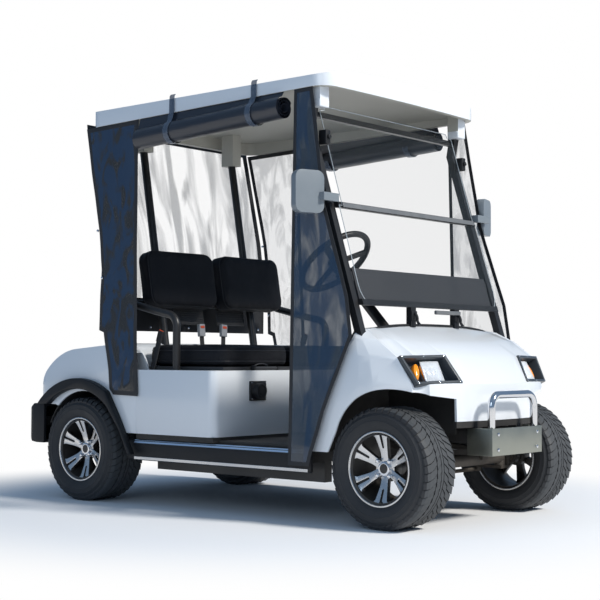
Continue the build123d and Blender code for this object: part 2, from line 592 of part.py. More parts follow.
# ---- Wheelhouse liners and valance --------------------------------------------------------
LINER = 5.0
LINER_INNER_Y = 230.0
liner_wall_x = (FRONT_AXLE_X - 175.0, FRONT_AXLE_X + 145.0)
liner_wall = span(liner_wall_x, (LINER_INNER_Y, LINER_INNER_Y + LINER), (RAIL_TOP_Z - 20.0, AXLE_Z + ARCH_RADIUS))
liner_top = span((liner_wall_x[0], liner_wall_x[1]), (LINER_INNER_Y, side_y - PANEL),
                 (AXLE_Z + ARCH_RADIUS, AXLE_Z + ARCH_RADIUS + LINER))
liner_foot = span((liner_wall_x[0] + 40, liner_wall_x[1] - 60), (rail_outer_y, LINER_INNER_Y),
                  (RAIL_TOP_Z - 20.0, RAIL_TOP_Z - 12.0))
liner_room = cowl_inner + span(liner_wall_x, (rail_outer_y, LINER_INNER_Y + 2 * LINER), (RAIL_LOW_Z, COWL_TABLE[1][0] - 100))
liner = (liner_wall + liner_top + liner_foot) & liner_room
liner -= lamp_prism(0.0, BEZEL_BACK - 1.0, BEZEL_FRONT)
REAR_TYRE_CLEARANCE = 30.0
rear_liner_inner_y = REAR_TRACK / 2 - TYRE_WIDTH / 2 - REAR_TYRE_CLEARANCE
rear_liner_y = (rear_liner_inner_y, BODY_HALF_WIDTH - PANEL)
rear_liner = rod((REAR_AXLE_X, rear_liner_y[0], AXLE_Z), (REAR_AXLE_X, rear_liner_y[1], AXLE_Z), REAR_ARCH_RADIUS + LINER)
rear_liner -= rod((REAR_AXLE_X, rear_liner_y[0] + LINER, AXLE_Z), (REAR_AXLE_X, rear_liner_y[1] + 1, AXLE_Z), REAR_ARCH_RADIUS)
rear_liner = rear_liner & span((REAR_X, POD_REAR_X), (0, BODY_HALF_WIDTH), (AXLE_Z + 110.0, POD_TOP_Z))
node("wheel_liners", pair(liner))
node("rear_wheel_liners", pair(rear_liner))

# A black valance closes the gap between the nose's bottom edge and the front bumper.
VALANCE_HEIGHT = 25.0
nose_row = COWL_TABLE[0]
valance_outer = extrude(cowl_section((0.0,) + nose_row[1:], 2.0, 0.0), amount=VALANCE_HEIGHT)
valance_inner = extrude(cowl_section((0.0,) + nose_row[1:], 14.0, 0.0), amount=VALANCE_HEIGHT)
valance = Pos(0, 0, nose_row[0] - VALANCE_HEIGHT) * (valance_outer - valance_inner)
valance_x = (FRONT_AXLE_X + 150.0, FRONT_AXLE_X + 230.0)
valance = valance & span(valance_x, (-NOSE_HALF_WIDTH, NOSE_HALF_WIDTH), (300, 500))
valance_tie = span((FRONT_AXLE_X + 160.0, FRONT_AXLE_X + 196.0), (rail_inner_y, rail_outer_y), (RAIL_TOP_Z, nose_row[0] - 8.0))
valance += valance_tie
valance += mirrored(valance_tie)
node("front_valance", valance)

# ---- Firewall, pedals and dash ------------------------------------------------------------
FIREWALL = 10.0
firewall_back = [(x - FIREWALL, z) for x, z in reversed(door_edge)]
firewall = side_plate(door_edge + firewall_back, -BODY_HALF_WIDTH, BODY_HALF_WIDTH)
firewall_low = span((FRONT_AXLE_X - 400, FRONT_AXLE_X), (-side_y + PANEL / 2, side_y - PANEL / 2), (MAT_Z, COWL_TABLE[0][0]))
firewall = firewall & (cowl_outer + firewall_low)
node("firewall", firewall)

ahead_of_firewall = side_plate(
    [(x - FIREWALL, z) for x, z in door_edge] + [(FRONT_AXLE_X + 100, 790.0), (FRONT_AXLE_X + 100, 100.0)],
    -600, 600)

# Pedals hang from the firewall: (centre Y, height of the pad's centre, pad width).
pedal_table = [(STEERING_Y + 45.0, 420.0, 70.0), (STEERING_Y - 65.0, 400.0, 55.0)]
pedals = []
for centre_y, pad_z, pad_width in pedal_table:
    pad_x = FRONT_AXLE_X - 345.0
    pad = Pos(pad_x, centre_y, pad_z) * Rot(0, -25, 0) * Box(10.0, pad_width, 95.0)
    stalk = rod((pad_x, centre_y, pad_z), (FRONT_AXLE_X - 150.0, centre_y, pad_z + 160.0), 9.0)
    pedals.append((pad + stalk) - ahead_of_firewall)
node("pedals", Compound(children=pedals))


def windshield_x(z):
    """The windshield's front face, which leans back as it rises."""
    return WINDSHIELD_BOTTOM_X - (z - WINDSHIELD_BOTTOM_Z) * WINDSHIELD_RAKE


def windshield_slab(z_low, z_high, y_low, y_high, depth, setback):
    """A slab parallel to the windshield, setback behind its front face."""
    corners = [
        (windshield_x(z_low) - setback, z_low),
        (windshield_x(z_high) - setback, z_high),
        (windshield_x(z_high) - setback - depth, z_high),
        (windshield_x(z_low) - setback - depth, z_low),
    ]
    return side_plate(corners, y_low, y_high)


strut_setback = PANE + BAR_SIZE
strut_inner_y = STRUT_Y - STRUT_SIZE / 2
DASH_LOW_Z = 874.0
DASH_HIGH_Z = 996.0
DASH_DEPTH = 60.0
DASH_HALF_WIDTH = 474.0
dash = windshield_slab(DASH_LOW_Z, DASH_HIGH_Z, -DASH_HALF_WIDTH, DASH_HALF_WIDTH, DASH_DEPTH, strut_setback)
dash_bracket = windshield_slab(DASH_HIGH_Z - 50.0, DASH_HIGH_Z - 15.0, DASH_HALF_WIDTH, strut_inner_y, 24.0, strut_setback + 4.0)
dash += dash_bracket
dash += mirrored(dash_bracket)
node("dash", dash)

# ---- Windshield ---------------------------------------------------------------------------
# Front struts run from the cowl's shoulders up to the canopy's front legs.
LEG_X = FRONT_AXLE_X - 331.0
LEG_Z = ROOF_FRONT_EDGE_Z - 78.0
strut_bend_z = LEG_Z - 80.0
STRUT_TOP_SETBACK = 6.0
TOP_BAR_Z = LEG_Z - 23.0
strut_low_z = COWL_TABLE[3][0] - 40.0
strut_front = strut_setback - 2.0
strut_line = [
    (windshield_x(strut_low_z) - strut_front, strut_low_z),
    (windshield_x(strut_bend_z) - strut_front, strut_bend_z),
    (LEG_X - STRUT_TOP_SETBACK, LEG_Z),
]
strut_outline = strut_line + [(x - STRUT_SIZE, z) for x, z in reversed(strut_line)]
strut = side_plate(strut_outline, strut_inner_y, strut_inner_y + STRUT_SIZE)
strut -= cowl_outer
strut = max(strut.solids(), key=lambda solid: solid.center().Z)
node("front_struts", pair(strut))

bars = []
for centre_z in (WINDSHIELD_BOTTOM_Z + BAR_SIZE / 2, WINDSHIELD_FOLD_Z, TOP_BAR_Z):
    low = centre_z - BAR_SIZE / 2
    bars.append(windshield_slab(low, low + BAR_SIZE, -strut_inner_y, strut_inner_y, BAR_SIZE, PANE))
node("windshield_bars", Compound(children=bars))

# Two feet stand the bottom bar off the cowl.
FOOT_Y = 157.0
FOOT_WIDTH = 34.0
foot_x = windshield_x(WINDSHIELD_BOTTOM_Z) - PANE
foot = span((foot_x - BAR_SIZE, foot_x), (FOOT_Y - FOOT_WIDTH / 2, FOOT_Y + FOOT_WIDTH / 2), (strut_low_z, WINDSHIELD_BOTTOM_Z))
foot -= cowl_outer
foot = max(foot.solids(), key=lambda solid: solid.center().Z)
node("windshield_feet", pair(foot))

node("windshield_lower", windshield_slab(
    WINDSHIELD_BOTTOM_Z, WINDSHIELD_FOLD_Z - 1.0, -WINDSHIELD_HALF_WIDTH, WINDSHIELD_HALF_WIDTH, PANE, 0.0))
# The upper pane's corners are cut away below the canopy's legs.
UPPER_HALF_WIDTH = WINDSHIELD_HALF_WIDTH - 20.0
upper_pane = windshield_slab(WINDSHIELD_FOLD_Z + 1.0, LEG_Z - 4.0, -UPPER_HALF_WIDTH, UPPER_HALF_WIDTH, PANE, 0.0)
upper_pane += windshield_slab(LEG_Z - 30.0, WINDSHIELD_TOP_Z, 30.0 - UPPER_HALF_WIDTH, UPPER_HALF_WIDTH - 30.0, PANE, 0.0)
node("windshield_upper", upper_pane)

# ---- Mirrors ------------------------------------------------------------------------------
MIRROR_WIDTH = 130.0
MIRROR_HEIGHT = 166.0
MIRROR_DEPTH = 34.0
MIRROR_TOE = 18.0
mirror_centre = (windshield_x(WINDSHIELD_FOLD_Z) - 46.0, STRUT_Y + MIRROR_REACH, WINDSHIELD_FOLD_Z + 40.0)
shell = Box(MIRROR_DEPTH, MIRROR_WIDTH, MIRROR_HEIGHT)
shell = fillet(shell.edges().filter_by(Axis.X), 30.0)
shell = Pos(*mirror_centre) * Rot(0, 0, MIRROR_TOE) * shell
# The bracket steps ahead of the side curtain's edge and turns back to the mirror.
bracket_x = (windshield_x(WINDSHIELD_FOLD_Z) - strut_front, windshield_x(WINDSHIELD_FOLD_Z) + 6.0)
bracket_z = (WINDSHIELD_FOLD_Z + 8.0, WINDSHIELD_FOLD_Z + 40.0)
bracket = span(bracket_x, (STRUT_Y - 4.0, STRUT_Y + 30.0), bracket_z)
bracket += span((bracket_x[1] - 14.0, bracket_x[1]), (STRUT_Y, mirror_centre[1] - 36.0), bracket_z)
bracket += span((mirror_centre[0] + 14.0, bracket_x[1]), (mirror_centre[1] - 58.0, mirror_centre[1] - 36.0), bracket_z)
bracket -= windshield_slab(900.0, 1500.0, 0, 700, STRUT_SIZE + 40.0, strut_front - 1.0)
bracket = max(bracket.solids(), key=lambda solid: solid.volume)
node("mirrors", pair(shell + bracket))

# ---- Canopy -------------------------------------------------------------------------------


def roof_plan(inset):
    """The canopy's plan, drawn in by inset and tall enough to cut with; its front edge is bowed."""
    half = ROOF_HALF_WIDTH - inset
    front = ROOF_FRONT_X - inset
    rear = ROOF_REAR_X + inset
    outline = [
        Line((rear, -half), (front, -half)),
        ThreePointArc((front, -half), (front + ROOF_FRONT_BOW, 0), (front, half)),
        Line((front, half), (rear, half)),
        Line((rear, half), (rear, -half)),
    ]
    block = Pos(0, 0, BELOW_ROOF_Z) * extrude(make_face(outline), amount=ROOF_CROWN_Z - BELOW_ROOF_Z + 100.0)
    return fillet(block.edges().filter_by(Axis.Z), ROOF_CORNER - inset)


roof_rear_top = ROOF_SIDE_TOP_Z + 4.0
roof_front_top = ROOF_CROWN_Z - 4.0
roof_tip_x = ROOF_FRONT_X + ROOF_FRONT_BOW + 5.0
# The crown's section runs past the canopy's sides, which the plan then cuts.
CROWN_OVERRUN = 12.0
crown_reach_y = ROOF_HALF_WIDTH + CROWN_OVERRUN
crown_reach_z = ROOF_SIDE_TOP_Z - CROWN_OVERRUN / 4
roof_side = side_prism([
    Line((ROOF_REAR_X, ROOF_REAR_EDGE_Z), (roof_tip_x, ROOF_FRONT_EDGE_Z)),
    Line((roof_tip_x, ROOF_FRONT_EDGE_Z), (roof_tip_x, roof_front_top)),
    Line((roof_tip_x, roof_front_top), (ROOF_FRONT_X - 250.0, ROOF_CROWN_Z + 1.0)),
    ThreePointArc((ROOF_FRONT_X - 250.0, ROOF_CROWN_Z + 1.0), (ROOF_REAR_X + 420.0, ROOF_CROWN_Z - 6.0),
                  (ROOF_REAR_X, roof_rear_top)),
    Line((ROOF_REAR_X, roof_rear_top), (ROOF_REAR_X, ROOF_REAR_EDGE_Z)),
], -crown_reach_y, crown_reach_y)
shoulder_y = ROOF_HALF_WIDTH * 0.58
shoulder_mid = ((ROOF_HALF_WIDTH + shoulder_y) / 2 + 6.0, (ROOF_SIDE_TOP_Z + ROOF_SHOULDER_Z) / 2 + 6.0)
crown_face = make_face([
    Line((-crown_reach_y, BELOW_ROOF_Z), (crown_reach_y, BELOW_ROOF_Z)),
    Line((crown_reach_y, BELOW_ROOF_Z), (crown_reach_y, crown_reach_z)),
    ThreePointArc((crown_reach_y, crown_reach_z), shoulder_mid, (shoulder_y, ROOF_SHOULDER_Z)),
    ThreePointArc((shoulder_y, ROOF_SHOULDER_Z), (0, ROOF_CROWN_Z), (-shoulder_y, ROOF_SHOULDER_Z)),
    ThreePointArc((-shoulder_y, ROOF_SHOULDER_Z), (-shoulder_mid[0], shoulder_mid[1]), (-crown_reach_y, crown_reach_z)),
    Line((-crown_reach_y, crown_reach_z), (-crown_reach_y, BELOW_ROOF_Z)),
])
crown_plane = Plane(origin=(ROOF_REAR_X - 10, 0, 0), x_dir=(0, 1, 0), z_dir=(1, 0, 0))
roof_crown = extrude(crown_plane * crown_face, amount=roof_tip_x - ROOF_REAR_X + 20)
roof_block = roof_side & roof_plan(0.0) & roof_crown
roof_hollow = (Pos(0, 0, -ROOF_SKIN) * (roof_side & roof_crown)) & roof_plan(ROOF_WALL)
roof = roof_block - roof_hollow
LEG_SIZE = 56.0
leg_y = STRUT_Y - 13.0
leg = span((LEG_X - LEG_SIZE / 2, LEG_X + LEG_SIZE / 2), (leg_y - LEG_SIZE / 2, leg_y + LEG_SIZE / 2), (LEG_Z, ROOF_SIDE_TOP_Z - 15.0))
REAR_PAD_X = REAR_AXLE_X + 92.0
rear_pad_z = ROOF_REAR_EDGE_Z - 90.0
pad = span((REAR_PAD_X - 42.0, REAR_PAD_X + 34.0), (REAR_STRUT_Y - 30.0, REAR_STRUT_Y + 30.0), (rear_pad_z, ROOF_SIDE_TOP_Z + 4.0))
for piece in (leg, pad):
    roof += piece
    roof += mirrored(piece)
node("roof", roof)

# ---- Seat pod -----------------------------------------------------------------------------
pod_x = (POD_REAR_X, POD_FRONT_X)
pod_z = (POD_BOTTOM_Z, POD_TOP_Z)
pod_block = span(pod_x, (-BODY_HALF_WIDTH, BODY_HALF_WIDTH), pod_z)
pod_front_edges = pod_block.edges().filter_by(Axis.Z).group_by(Axis.X)[-1]
pod_block = fillet(pod_front_edges, POD_CORNER)
pod_hollow = span((pod_x[0] - 1, pod_x[1] - PANEL), (-BODY_HALF_WIDTH + PANEL, BODY_HALF_WIDTH - PANEL),
                  (pod_z[0] - 1, pod_z[1] - PANEL))
pod_hollow = fillet(pod_hollow.edges().filter_by(Axis.Z).group_by(Axis.X)[-1], POD_CORNER - PANEL)
pod = pod_block - pod_hollow
pod -= span((pod_x[0] - 1, pod_x[1] - POD_FLANGE), (-BODY_HALF_WIDTH + 95.0, BODY_HALF_WIDTH - 95.0),
            (pod_z[1] - PANEL - 1, pod_z[1] + 1))
seat_hinge_x = POD_FRONT_X - 16.0
seat_hinge_z = POD_TOP_Z + HINGE_BARREL_RADIUS + 1.0
lug_half = 9.0
hinge_lug_y = (150.0, 160.0)
hinge_far_lug_y = (300.0, 310.0)
for y_span in (hinge_lug_y, hinge_far_lug_y):
    lug = span((seat_hinge_x - lug_half, seat_hinge_x + lug_half), y_span, (POD_TOP_Z, seat_hinge_z + lug_half))
    lug -= rod((seat_hinge_x, y_span[0] - 1, seat_hinge_z), (seat_hinge_x, y_span[1] + 1, seat_hinge_z),
               HINGE_PIN_RADIUS + SHAFT_CLEARANCE)
    pod += lug
    pod += mirrored(lug)
node("seat_pod", pod)

battery_x = (POD_REAR_X + 60.0, POD_FRONT_X - 70.0)
BATTERY_HALF_WIDTH = 270.0
BATTERY_CLEARANCE = 24.0
battery_top_z = POD_TOP_Z - PANEL - BATTERY_CLEARANCE
node("battery_pack", span(battery_x, (-BATTERY_HALF_WIDTH, BATTERY_HALF_WIDTH), (POD_BOTTOM_Z, battery_top_z)))

PORT_CENTRE_Y = -301.0
PORT_CENTRE_Z = 503.0
port = span((POD_FRONT_X, POD_FRONT_X + 10.0), (PORT_CENTRE_Y - 51.0, PORT_CENTRE_Y + 51.0),
            (PORT_CENTRE_Z - 42.0, PORT_CENTRE_Z + 42.0))
port += rod((POD_FRONT_X + 10.0, PORT_CENTRE_Y - 8.0, PORT_CENTRE_Z),
            (POD_FRONT_X + 34.0, PORT_CENTRE_Y - 8.0, PORT_CENTRE_Z), 32.0)
node("charging_port", port)

# ---- Rear body ----------------------------------------------------------------------------
# Side outline, as (distance ahead of the rear axle, height): it climbs behind the seats,
# runs back as a falling deck and rounds down to the bumper.
deck_front = (REAR_AXLE_X + 238.0, 707.0)
deck_break = (REAR_AXLE_X + 127.0, 696.0)
deck_rear = (REAR_AXLE_X - 70.0, 680.0)
tail_mid = (REAR_AXLE_X - 212.0, 625.0)
tail_top = (REAR_AXLE_X - 304.0, 528.0)
tail_low = (REAR_AXLE_X - 348.0, BUMPER_HIGH_Z)
body_foot = (REAR_AXLE_X - 200.0, BUMPER_HIGH_Z)
rear_edges = [
    Line((POD_REAR_X, POD_BOTTOM_Z), (POD_REAR_X, POD_TOP_Z)),
    ThreePointArc((POD_REAR_X, POD_TOP_Z), (POD_REAR_X - 42.0, 668.0), deck_front),
    Line(deck_front, deck_break),
    Line(deck_break, deck_rear),
    ThreePointArc(deck_rear, tail_mid, tail_top),
    Line(tail_top, tail_low),
    Line(tail_low, body_foot),
    Line(body_foot, (REAR_AXLE_X + 180.0, POD_BOTTOM_Z)),
    Line((REAR_AXLE_X + 180.0, POD_BOTTOM_Z), (POD_REAR_X, POD_BOTTOM_Z)),
]
TAIL_CORNER = 90.0


tail_high_z = POD_TOP_Z + 210.0
well_rear_x = POD_FRONT_X - SEAT_SETBACK - SEAT_DEPTH - SEAT_CLEARANCE


def tail_plan(inset, low_z, high_z):
    """The rear body's plan with rounded tail corners, drawn in by inset."""
    half = BODY_HALF_WIDTH - inset
    block = span((tail_low[0] + inset, POD_REAR_X + 20.0), (-half, half), (low_z, high_z))
    return fillet(block.edges().filter_by(Axis.Z).group_by(Axis.X)[0], TAIL_CORNER - inset)


def seat_recess(wall):
    """The well in the body's front for the backs of the cushions, grown by a wall."""
    half = SEAT_OUTER_Y + 12.0 + wall
    return span((well_rear_x - wall, POD_REAR_X + 1), (-half, half), (POD_TOP_Z - wall, tail_high_z))


rear_full = side_prism(rear_edges, -BODY_HALF_WIDTH, BODY_HALF_WIDTH)
rear_solid = (rear_full & tail_plan(0.0, FLOOR_Z - 25.0, tail_high_z)) - seat_recess(0.0)
# The hollow follows the same outline, one panel below and ahead of it.
rear_hollow = Pos(PANEL, 0, -PANEL) * rear_full + Pos(PANEL, 0, -100) * rear_full
rear_hollow = (rear_hollow & tail_plan(PANEL, FLOOR_Z - 75.0, tail_high_z)) - seat_recess(PANEL)
arch_half = BODY_HALF_WIDTH + 130.0
arch_rod = rod((REAR_AXLE_X, -arch_half, AXLE_Z), (REAR_AXLE_X, arch_half, AXLE_Z), REAR_ARCH_RADIUS)
rear_body = rear_solid - rear_hollow
rear_body -= arch_rod
node("rear_body", rear_body)

# Black flares trim each rear arch, and their front legs run down to the sill. Outline
# points are (distance ahead of the rear axle, height).
flare_outer = [(-296.0, BUMPER_HIGH_Z), (-42.0, 548.0), (178.0, 492.0)]
flare_inner = [(-224.0, BUMPER_HIGH_Z), (-40.0, 500.0), (186.0, 426.0)]
flare_leg_outer = [(252.0, 380.0), (344.0, 222.0)]
flare_leg_inner = [(268.0, 326.0), (324.0, 222.0)]


def from_rear_axle(point):
    return (REAR_AXLE_X + point[0], point[1])


outer_arc = [from_rear_axle(point) for point in flare_outer]
inner_arc = [from_rear_axle(point) for point in flare_inner]
leg_outer = [from_rear_axle(point) for point in flare_leg_outer]
leg_inner = [from_rear_axle(point) for point in flare_leg_inner]
flare = side_prism([
    ThreePointArc(*outer_arc),
    Line(outer_arc[2], leg_outer[0]),
    Line(leg_outer[0], leg_outer[1]),
    Line(leg_outer[1], leg_inner[1]),
    Line(leg_inner[1], leg_inner[0]),
    Line(leg_inner[0], inner_arc[2]),
    ThreePointArc(*reversed(inner_arc)),
    Line(inner_arc[0], outer_arc[0]),
], BODY_HALF_WIDTH, BODY_HALF_WIDTH + FLARE_DEPTH)
node("flares", pair(flare))

# ---- Bumpers ------------------------------------------------------------------------------


# The rear bumper's section, as (distance behind the rear axle, height).
BUMPER_CORNER = 40.0
bumper_top = 348.0 + 8.0
bumper_outer = [
    (285.0, BUMPER_HIGH_Z), (bumper_top, BUMPER_HIGH_Z), (398.0, 397.0), (REAR_OVERHANG, 378.0),
    (REAR_OVERHANG, 320.0), (396.0, 278.0), (374.0, 250.0), (340.0, BUMPER_LOW_Z), (285.0, BUMPER_LOW_Z)]
bumper_inner = [
    (280.0, BUMPER_HIGH_Z - BUMPER_WALL), (bumper_top - 4.0, BUMPER_HIGH_Z - BUMPER_WALL),
    (388.0, 390.0), (REAR_OVERHANG - BUMPER_WALL, 374.0), (REAR_OVERHANG - BUMPER_WALL, 322.0),
    (383.0, 285.0), (365.0, 262.0), (338.0, BUMPER_LOW_Z + BUMPER_WALL), (280.0, BUMPER_LOW_Z + BUMPER_WALL)]


def bumper_shell(section, inset):
    """The bumper's section across the tail, cut to its plan with rounded corners."""
    half = bumper_half - inset
    across = side_plate([(REAR_AXLE_X - x, z) for x, z in section], -half, half)
    block = span((REAR_X + inset, REAR_AXLE_X - 270.0), (-half, half), (200, 500))
    return across & fillet(block.edges().filter_by(Axis.Z).group_by(Axis.X)[0], BUMPER_CORNER - inset)


rear_bumper = bumper_shell(bumper_outer, 0.0) - bumper_shell(bumper_inner, BUMPER_WALL)
node("rear_bumper", rear_bumper)

PLATE_HALF_WIDTH = 185.0
PLATE_LOW_Z = 272.0
PLATE_HIGH_Z = 377.0
PLATE_RETURN = 115.0
plate_outer = span((FRONT_X - PLATE_RETURN, FRONT_X), (-PLATE_HALF_WIDTH, PLATE_HALF_WIDTH), (PLATE_LOW_Z, PLATE_HIGH_Z))
plate_hollow = span((FRONT_X - PLATE_RETURN - 1, FRONT_X - BUMPER_PLATE),
                    (-PLATE_HALF_WIDTH + BUMPER_PLATE, PLATE_HALF_WIDTH - BUMPER_PLATE), (PLATE_LOW_Z - 1, PLATE_HIGH_Z + 1))
node("front_bumper", plate_outer - plate_hollow)

GUARD_RADIUS = 15.0
guard_x = FRONT_X - 22.0
guard_y = RAIL_Y + 8.0
guard_top_z = 505.0
guard = bent_tube([
    (guard_x, -guard_y, RAIL_TOP_Z),
    (guard_x, -guard_y, guard_top_z),
    (guard_x, guard_y, guard_top_z),
    (guard_x, guard_y, RAIL_TOP_Z),
], 48.0, GUARD_RADIUS)
node("bumper_guard", guard)

# ---- Seats --------------------------------------------------------------------------------
seat_front_x = POD_FRONT_X - SEAT_SETBACK
seat_rear_x = seat_front_x - SEAT_DEPTH
base_low_z = POD_TOP_Z + 1.0
base_high_z = base_low_z + SEAT_BASE_THICKNESS
seat_base = span((seat_rear_x, seat_front_x), (-SEAT_OUTER_Y, SEAT_OUTER_Y), (base_low_z, base_high_z))
for side in (-1, 1):
    barrel_y = sorted((side * (hinge_lug_y[1] + 0.5), side * (hinge_far_lug_y[0] - 0.5)))
    pin_y = sorted((side * hinge_lug_y[0], side * hinge_far_lug_y[1]))
    seat_base += rod((seat_hinge_x, barrel_y[0], seat_hinge_z), (seat_hinge_x, barrel_y[1], seat_hinge_z),
                     HINGE_BARREL_RADIUS)
    seat_base += span((seat_front_x - 2, seat_hinge_x), barrel_y, (seat_hinge_z - 4.0, seat_hinge_z + 4.0))
    seat_base += rod((seat_hinge_x, pin_y[0], seat_hinge_z), (seat_hinge_x, pin_y[1], seat_hinge_z), HINGE_PIN_RADIUS)
node("seat_base", seat_base)

cushion_width = SEAT_OUTER_Y - SEAT_INNER_Y
cushion = Box(SEAT_DEPTH, cushion_width, CUSHION_THICKNESS)
cushion = fillet(cushion.edges().filter_by(Axis.Z), 55.0)
cushion_z = base_high_z + CUSHION_THICKNESS / 2
cushion = Pos((seat_front_x + seat_rear_x) / 2, (SEAT_OUTER_Y + SEAT_INNER_Y) / 2, cushion_z) * cushion
node("seat_cushion_left", cushion)
node("seat_cushion_right", mirrored(cushion))

# Rear struts stand on the deck, lean back and carry the canopy, the backrests and the arms.
STRUT_LEAN = 0.1733
strut_top_x = REAR_PAD_X


def rear_strut_x(z):
    return strut_top_x + (rear_pad_z - z) * STRUT_LEAN


rear_lean = degrees(atan2(STRUT_LEAN, 1.0))
strut_foot_z = deck_front[1]
back_rail_z = (890.0, 1090.0)
strut_rod = rod((rear_strut_x(strut_foot_z - 40.0), REAR_STRUT_Y, strut_foot_z - 40.0),
                (rear_strut_x(rear_pad_z + 20.0), REAR_STRUT_Y, rear_pad_z + 20.0), REAR_STRUT_RADIUS)
strut_rod = (strut_rod & span((REAR_X, FRONT_X), (0, 500), (600.0, rear_pad_z))) - rear_full
frame_tubes = strut_rod + mirrored(strut_rod)
for z in back_rail_z:
    x = rear_strut_x(z)
    reach = ARM_Y if z == back_rail_z[0] else REAR_STRUT_Y
    frame_tubes += rod((x, -reach, z), (x, reach, z), 13.0)
arm_path = [
    (rear_strut_x(back_rail_z[0]), ARM_Y, back_rail_z[0]),
    (REAR_AXLE_X + 400.0, ARM_Y, 848.0),
    (REAR_AXLE_X + 532.0, ARM_Y, 822.0),
    (REAR_AXLE_X + 532.0, ARM_Y, POD_TOP_Z),
]
arm = bent_tube(arm_path, [60.0, 55.0], ARM_RADIUS)
frame_tubes += arm
frame_tubes += mirrored(arm)
node("seat_frame", frame_tubes)

back_width = SEAT_OUTER_Y - SEAT_INNER_Y - 35.0
backrest = Box(BACKREST_THICKNESS, back_width, BACKREST_HEIGHT)
backrest = fillet(backrest.edges().filter_by(Axis.X), 60.0)
back_mid_z = BACKREST_BOTTOM_Z + BACKREST_HEIGHT / 2
back_ahead = REAR_STRUT_RADIUS / cos(radians(rear_lean)) + BACKREST_THICKNESS / 2 / cos(radians(rear_lean)) + SOFT_GAP
backrest = Pos(rear_strut_x(back_mid_z) + back_ahead, SEAT_INNER_Y + back_width / 2, back_mid_z) * Rot(0, -rear_lean, 0) * backrest
node("backrest_left", backrest)
node("backrest_right", mirrored(backrest))

# ---- Steering column and wheel ------------------------------------------------------------
column_tilt = radians(COLUMN_ANGLE)
column_axis = Vector(-cos(column_tilt), 0, sin(column_tilt))
hub = Vector(STEERING_HUB_X, STEERING_Y, STEERING_HUB_Z)
column_plane = Plane(origin=hub, x_dir=(0, 1, 0), z_dir=column_axis)
COLUMN_TOP = -62.0
SHAFT_RADIUS = 9.0
column = Pos(0, 0, -600.0) * Cylinder(COLUMN_RADIUS, 600.0 + COLUMN_TOP, align=(Align.CENTER, Align.CENTER, Align.MIN))
column += Pos(0, 0, COLUMN_TOP - 70.0) * Cylinder(36.0, 70.0, align=(Align.CENTER, Align.CENTER, Align.MIN))
column -= Pos(0, 0, COLUMN_TOP - 60.0) * Cylinder(
    SHAFT_RADIUS + SHAFT_CLEARANCE, 61.0, align=(Align.CENTER, Align.CENTER, Align.MIN))
column = column_plane * column
column = column - ahead_of_firewall
column = max(column.solids(), key=lambda s: s.center().Z)
node("steering_column", column)

wheel = Torus(STEERING_WHEEL_RADIUS, STEERING_GRIP_RADIUS)
wheel += Pos(0, 0, -40.0) * Cylinder(30.0, 50.0, align=(Align.CENTER, Align.CENTER, Align.MIN))
wheel += Pos(0, 0, COLUMN_TOP - 50.0) * Cylinder(SHAFT_RADIUS, 30.0 - COLUMN_TOP, align=(Align.CENTER, Align.CENTER, Align.MIN))
for turn in (90, 210, 330):
    spoke = Rot(0, 0, turn) * Pos(STEERING_WHEEL_RADIUS / 2, 0, -6.0) * Box(STEERING_WHEEL_RADIUS - 6.0, 30.0, 8.0)
    wheel += spoke
node("steering_wheel", column_plane * wheel)

# ---- Curtains -----------------------------------------------------------------------------


def roof_edge_z(x):
    """The canopy's bottom edge at a station along the cart."""
    share = (x - ROOF_REAR_X) / (ROOF_FRONT_X - ROOF_REAR_X)
    return ROOF_REAR_EDGE_Z + share * (ROOF_FRONT_EDGE_Z - ROOF_REAR_EDGE_Z)


curtain_lean = degrees(atan2(CURTAIN_LOW_Y - CURTAIN_TOP_Y, ROOF_REAR_EDGE_Z - POD_TOP_Z))


def hung_panel(points):
    """A curtain panel of (X, Z) corners, hung from the canopy's edge and leaning out to clear the body."""
    flat = side_plate(points, 0.0, CURTAIN)
    return Pos(0, CURTAIN_TOP_Y - CURTAIN, ROOF_REAR_EDGE_Z) * Rot(curtain_lean, 0, 0) * Pos(0, 0, -ROOF_REAR_EDGE_Z) * flat


top_gap = 0.4
# The rear curtain's side outline, as (distance ahead of the rear axle, height).
REAR_CURTAIN = [(-30.0, ROOF_REAR_EDGE_Z), (73.0, 1219.0), (97.0, 1040.0), (95.0, 765.0)]
rear_line = [from_rear_axle(point) for point in REAR_CURTAIN]
quarter_front_top = REAR_AXLE_X + 320.0
quarter = hung_panel([(x + CURTAIN + 1.0, z - 1.0) for x, z in rear_line[:3]] + [
    (rear_line[3][0] + CURTAIN + 1.0, rear_line[3][1]),
    (REAR_AXLE_X + 132.0, 755.0),
    (REAR_AXLE_X + 170.0, 587.0),
    (REAR_AXLE_X + 180.0, 506.0),
    (REAR_AXLE_X + 206.0, 479.0),
    (REAR_AXLE_X + 365.0, 475.0),
    (REAR_AXLE_X + 348.0, 720.0),
    (REAR_AXLE_X + 330.0, 1204.0),
    (quarter_front_top, roof_edge_z(quarter_front_top) - top_gap),
])
node("curtain_quarters", pair(quarter))

front_rear_x = FRONT_AXLE_X - 415.0
front_edge = hung_panel([
    (front_rear_x, roof_edge_z(front_rear_x) - 2 * top_gap),
    (LEG_X + 10.0, roof_edge_z(LEG_X + 10.0) - 2 * top_gap),
    (windshield_x(WINDSHIELD_FOLD_Z) - 18.0, WINDSHIELD_FOLD_Z),
    (windshield_x(880.0) - 10.0, 880.0),
    (FRONT_AXLE_X - 100.0, 730.0),
    (FRONT_AXLE_X - 230.0, 440.0),
    (FRONT_AXLE_X - 300.0, 226.0),
    (front_rear_x + 10.0, 226.0),
])
node("curtain_fronts", pair(front_edge))

